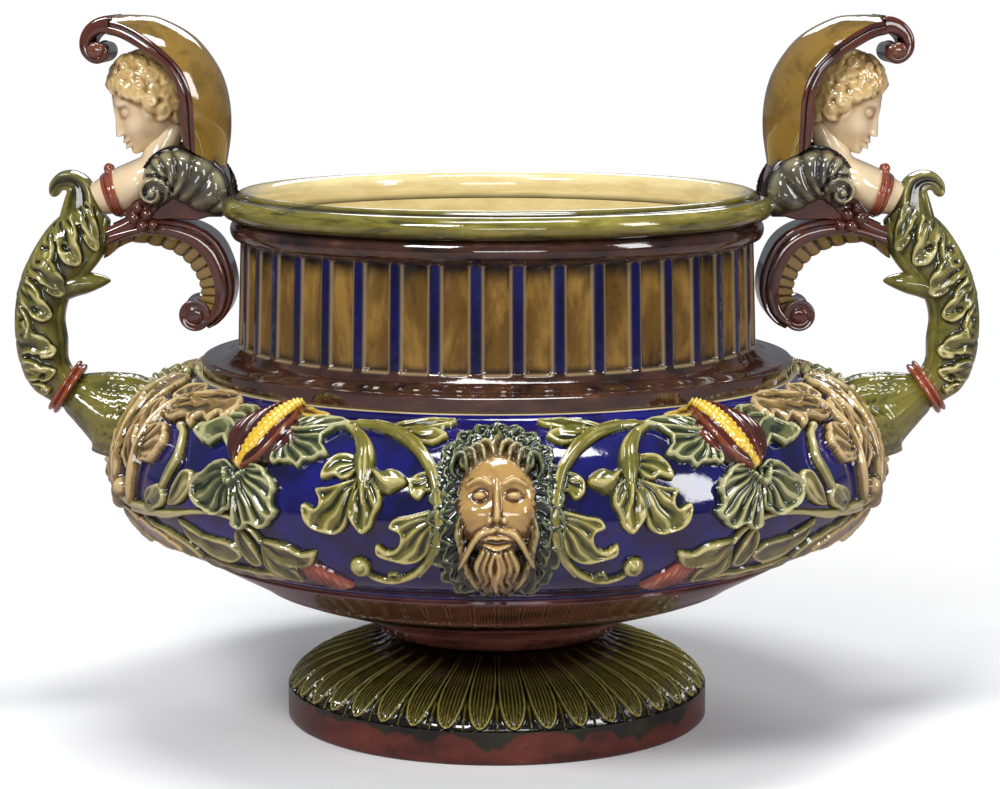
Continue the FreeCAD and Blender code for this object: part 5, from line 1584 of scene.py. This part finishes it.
def head_face(c):
    """Planes of a plain face on the usual halves and thirds, at rest, with closed lids."""
    eye, nose, mouth, chin = 0.0, -9.4, -14.4, -22.0
    swell(c, 0, chin + 0.5, 7.0, 4.4, 2.8)
    swell(c, 0, -11, 11, 11, 1.6)
    swell(c, 0, 9, 12, 6, 0.8)
    for way in (-1, 1):
        swell(c, way * 12.5, -8.5, 6.0, 6, 1.9)
        swell(c, way * 7.4, eye, 4.6, 3.2, -2.4)
        swell(c, way * 7.6, 4.6, 5.0, 1.6, 1.3)
        bump = 1 - ((c.s - way * 7.6) / 3.6) ** 2 - ((c.t - eye) / 2.5) ** 2
        c.h = np.where(bump > 0, c.h + 2.0 * np.abs(bump) ** 0.5, c.h)
        c.score([(way * 4.0, eye - 0.9), (way * 7.6, eye - 1.9), (way * 11.4, eye - 0.7)], 0.4, 0.9)
        c.score([(way * 4.0, eye + 1.2), (way * 7.6, eye + 2.9), (way * 11.6, eye + 1.2)], 0.45, 0.9)
        swell(c, way * 22.5, -3, 2.2, 4.2, 2.4)
        swell(c, way * 22.8, -2.6, 1.0, 2.2, -1.8)
    run = np.clip((4.5 - c.t) / 13.0, 0, 1)
    ridge = np.exp(-(c.s / (2.0 + 1.5 * run)) ** 2) * np.clip((5.5 - c.t) / 3, 0, 1)
    ridge *= np.clip((c.t + 10.2) / 1.5, 0, 1)
    c.h += (1.3 + 2.7 * run ** 1.4) * ridge
    for way in (-1, 1):
        swell(c, way * 2.7, nose + 1.0, 1.4, 1.4, 1.7)
    swell(c, 0, mouth + 1.2, 4.6, 1.1, 2.4)
    swell(c, 0, mouth - 1.8, 3.9, 1.3, 2.9)
    swell(c, 0, mouth - 0.3, 5.0, 0.45, -1.4)
    swell(c, 0, mouth - 4.4, 4.4, 1.4, -1.3)


def head_curls(c):
    """Hair: a cap, then curls laid on it in rows and along the hairline."""
    line_s, line_t = [0, 8, 14, 20, 27, 36, 58], [15, 14, 11, 6, -3, -14, -20]
    hairline = np.interp(np.abs(c.s), line_s, line_t)
    over = np.clip((c.t - hairline) / 3.0, 0, 1)
    c.h = c.h + 2.2 * over
    c.tone = np.maximum(c.tone, (c.t > hairline + 0.4) * 1.0)
    rng = np.random.RandomState(11)
    places = []
    for row in range(9):
        t = -17 + 5.6 * row
        count = max(5, int(19 * max(math.cos(t / 24.5), 0.22)))
        for k in range(count):
            s = -56 + 112 * (k + 0.5 * (row % 2) + 0.4 * rng.rand()) / count
            if t > np.interp(abs(s), line_s, line_t) + 1.0:
                places.append((s, t + 1.6 * rng.rand(), 3.3 + 1.5 * rng.rand(), 3.9 + 0.9 * rng.rand()))
    for k in range(15):
        s = -30 + 4.3 * k
        places.append((s, np.interp(abs(s), line_s, line_t) + 1.8, 3.4 + 0.8 * rng.rand(), 4.9))
    for k, (s, t, size, tall) in enumerate(places):
        c.dab(s, t, size * 1.1, tall - 0.7, tone=1.0, power=0.35)
        c.curl(s, t, size * 1.05, tall, turns=0.8, start=6.28 * rng.rand(), way=1 if k % 2 else -1,
            tone=1.0, width=0.62)


def make_heads(flesh):
    """Young heads: the board of relief wrapped round a skull with a full jaw."""
    c = Clay(-58, 58, -38, 38, 0.6, ground=0.3)
    head_face(c)
    head_curls(c)
    h = blurred(c.h, 0.45 / c.pitch)
    fields = relief_fields(c, h, 5.0)
    # lam runs round the head from the nose, the runs up it from its middle
    lam, the = np.meshgrid(np.linspace(-math.pi, math.pi, 200, endpoint=False),
        np.linspace(-1.50, 1.50, 130))
    s, t = lam * 18.0, the * 24.0
    rise = sampled(c, h, s, t)
    values = {k: sampled(c, v, s, t) for k, v in fields.items()}
    d = np.stack([np.cos(the) * np.cos(lam), np.cos(the) * np.sin(lam), np.sin(the)], -1)
    jaw = np.clip(-d[..., 2], 0, 1)
    a = 18.4 - 1.6 * jaw
    b = 16.4 - 4.2 * jaw ** 1.2
    low = np.clip(-np.sin(the), 0, 1)
    ahead = np.clip(np.cos(lam), 0, 1) ** 0.7
    full = np.sqrt(1 - low ** 5) / np.maximum(np.cos(the), 0.02)
    fuller = 1 + ahead * (np.minimum(full, 1.5) - 1) * (low > 0)
    p = np.stack([a * d[..., 0] * fuller + 0.6 * jaw, b * d[..., 1] * (0.35 + 0.65 * fuller),
        25.0 * d[..., 2]], -1)
    p[..., 0] += 3.4 * jaw * ahead
    normal = np.stack([d[..., 0] / 17, d[..., 1] / 15.8, d[..., 2] / 22.5], -1)
    normal /= np.linalg.norm(normal, axis=-1, keepdims=True)
    p = (p + normal * rise[..., None]) * HEAD_SCALE
    x = p[..., 0] * math.cos(NOD) + p[..., 2] * math.sin(NOD)
    z = -p[..., 0] * math.sin(NOD) + p[..., 2] * math.cos(NOD)
    cx, cz = at(41.0, 70.5)
    rings = np.stack([cx + x * math.cos(LOOK) + p[..., 1] * math.sin(LOOK),
        p[..., 1] * math.cos(LOOK) - x * math.sin(LOOK), cz + z], -1)
    pair("head_curls_%s", rings, values, flesh, "flesh_glaze", "head_%s", 80)


def make_roots(glaze, rust):
    """Rust ring at the foot of the arm and the leafy calyx that grips the belly."""
    (lx, lz), (hx, hz) = at(89, -89), at(105, -113)
    cx, cz = (lx + hx) / 2, (lz + hz) / 2
    size = math.hypot(hx - lx, hz - lz)
    dx, dz = -(hz - lz) / size, (hx - lx) / size

    def shifted(amount, grow):
        return (cx + (lx - cx) * grow + dx * amount, cz + (lz - cz) * grow + dz * amount,
            cx + (hx - cx) * grow + dx * amount, cz + (hz - cz) * grow + dz * amount, 17.2 * grow)

    double_roll = [(0.0, 1.04), (-0.3, 1.14), (-1.4, 1.22), (-2.6, 1.17), (-3.3, 1.10), (-4.2, 1.17),
        (-5.6, 1.21), (-6.7, 1.13), (-7.0, 1.04)]
    rows = bend([shifted(amount, grow) for amount, grow in double_roll], 36)
    c = Clay(0, 62, 0, 66, 0.8, ground=0.0)
    for k in range(5):
        s = 6 + 12.5 * k
        c.leaf([(s, 64), (s + 1.5, 42), (s - 1, 22), (s + (1 if k % 2 else -1) * 3, 4)],
            [4.0, 7.0, 8.4, 1.4], 3.4, teeth=5, bite=0.28, dish=0.45, ribs=5.5)
    for k in range(4):
        s = 12 + 12.5 * k
        c.leaf([(s, 64), (s, 46), (s + 1, 30)], [3.0, 5.0, 0.8], 2.4, teeth=3, bite=0.3, dish=0.4)
    calyx = [shifted(-7.0, 1.0), (236, 211, 247, 168, 22.0), (222, 210, 245, 161, 25.0),
        (212, 207, 226, 155, 29.0), (202, 202, 202, 150, 33.0)]
    calyx = bend(calyx, 90)[::-1]
    rings = [oval(row, 64) for row in rows]
    relief = 0.40 + 0.24 * np.abs(np.sin(2 * math.pi * np.linspace(0, 1, len(rows))))[:, None]
    pair("ring_%s", rings, {"relief": relief, "tone": 0.0}, rust, "rust_glaze", "lower_ring_%s")
    for side, way in SIDES.items():
        piece = carved_tube("root_leaves_" + side, calyx, c, 62.0, way, 3.6)
        dress(piece, glaze, "leaf_glaze", "calyx_" + side)


arm_glaze = relief_glaze("arm_olive", (0.010, 0.010, 0.003), (0.185, 0.165, 0.030), (0.500, 0.440, 0.180),
                         mottle=(0.080, 0.080, 0.018), bump=0.2)
make_arms(arm_glaze)
make_arm_tips(arm_glaze)
make_hood_shells()
umber_glaze = make_hood_edges()
make_scrolls()
make_consoles(umber_glaze)
make_volutes()
flesh = flesh_glaze()
rust_glaze = make_busts(flesh)
make_heads(flesh)
make_roots(arm_glaze, rust_glaze)


# ================================================================ light and camera
def light(name, size, place, look, power):
    """Soft rectangular lamp turned to the place it looks at."""
    data = bpy.data.lights.new(name, "AREA")
    data.shape = "RECTANGLE"
    data.size, data.size_y = size
    data.energy = power
    lamp = bpy.data.objects.new(name, data)
    lamp.location = place
    lamp.rotation_euler = (Vector(look) - Vector(place)).to_track_quat("-Z", "Y").to_euler()
    bpy.context.scene.collection.objects.link(lamp)


def make_floor():
    """Paper floor: plain white for the camera, a warm grey card for what the glaze mirrors."""
    bpy.ops.object.select_all(action="DESELECT")
    bpy.ops.mesh.primitive_plane_add(size=14, location=(0, 2, 0))
    floor = bpy.context.object
    floor.name = "floor"
    bpy.ops.object.transform_apply(location=True, rotation=True, scale=True)
    n = Nodes("floor_white")
    grain = n.noise(3, 2)
    paper = n.ramp(grain, "Fac", [(0.3, (0.90, 0.90, 0.90)), (0.7, (0.93, 0.93, 0.93))])
    card = n.ramp(grain, "Fac", [(0.3, (0.36, 0.30, 0.31)), (0.7, (0.39, 0.33, 0.34))])
    path = n.add("LightPath")
    paper = n.mix(path, "Is Camera Ray", card, paper)
    n.link(paper, 2, n.shader, "Base Color")
    n.shader.inputs["Roughness"].default_value = 0.9
    n.shader.inputs["Specular IOR Level"].default_value = 0.1
    # away from the object the paper is lit up to plain white for the camera
    glow = n.add("Emission")
    far = n.add("VectorMath")
    far.operation = "LENGTH"
    n.link(n.place, "Object", far, 0)
    fade = n.add("MapRange")
    fade.interpolation_type = "SMOOTHSTEP"
    fade.inputs["From Min"].default_value = 0.24
    fade.inputs["From Max"].default_value = 0.62
    n.link(far, "Value", fade, "Value")
    share = n.add("Math")
    share.operation = "MULTIPLY"
    n.link(fade, 0, share, 0)
    n.link(path, "Is Camera Ray", share, 1)
    both = n.add("MixShader")
    n.link(share, 0, both, 0)
    n.link(n.shader, 0, both, 1)
    n.link(glow, 0, both, 2)
    n.link(both, 0, n.out, "Surface")
    floor.data.materials.append(n.material)


def make_world():
    """White for the camera, a soft cool light for everything else."""
    world = bpy.data.worlds.new("studio")
    bpy.context.scene.world = world
    world.use_nodes = True
    tree = world.node_tree
    tree.nodes.clear()
    out = tree.nodes.new("ShaderNodeOutputWorld")
    seen = tree.nodes.new("ShaderNodeBackground")
    seen.inputs["Color"].default_value = (1, 1, 1, 1)
    soft = tree.nodes.new("ShaderNodeBackground")
    soft.inputs["Color"].default_value = (0.86, 0.90, 1.0, 1)
    soft.inputs["Strength"].default_value = 0.20
    path = tree.nodes.new("ShaderNodeLightPath")
    mix = tree.nodes.new("ShaderNodeMixShader")
    tree.links.new(path.outputs["Is Camera Ray"], mix.inputs[0])
    tree.links.new(soft.outputs[0], mix.inputs[1])
    tree.links.new(seen.outputs[0], mix.inputs[2])
    tree.links.new(mix.outputs[0], out.inputs["Surface"])


def make_lights():
    """Key from the left front, with softer lamps round it."""
    light("key", (0.9, 0.7), (-1.1, -1.9, 2.0), (0, 0, 0.2), 56)
    light("fill", (0.5, 1.2), (1.9, -1.1, 1.1), (0, 0, 0.2), 19)
    light("top", (1.1, 0.5), (0.1, -0.25, 2.2), (0, 0, 0.2), 24)
    light("low", (1.2, 0.35), (0.2, -2.4, 0.5), (0, 0, 0.16), 10)
    light("back", (1.4, 0.8), (0.2, 2.2, 1.8), (0, 0, 0.2), 20)


def make_camera():
    """Long lens a little above the pot, looking slightly down."""
    data = bpy.data.cameras.new("camera")
    data.sensor_width = 36
    data.lens = 103.5
    data.shift_x = 0.003
    data.clip_end = 30
    cam = bpy.data.objects.new("camera", data)
    cam.location = (0, -1.725, 0.455)
    cam.rotation_euler = (math.radians(90 - 8.53), 0, 0)
    bpy.context.scene.collection.objects.link(cam)
    bpy.context.scene.camera = cam


make_floor()
make_world()
make_lights()
make_camera()
bpy.context.scene.view_settings.view_transform = "Standard"
bpy.context.view_layer.update()
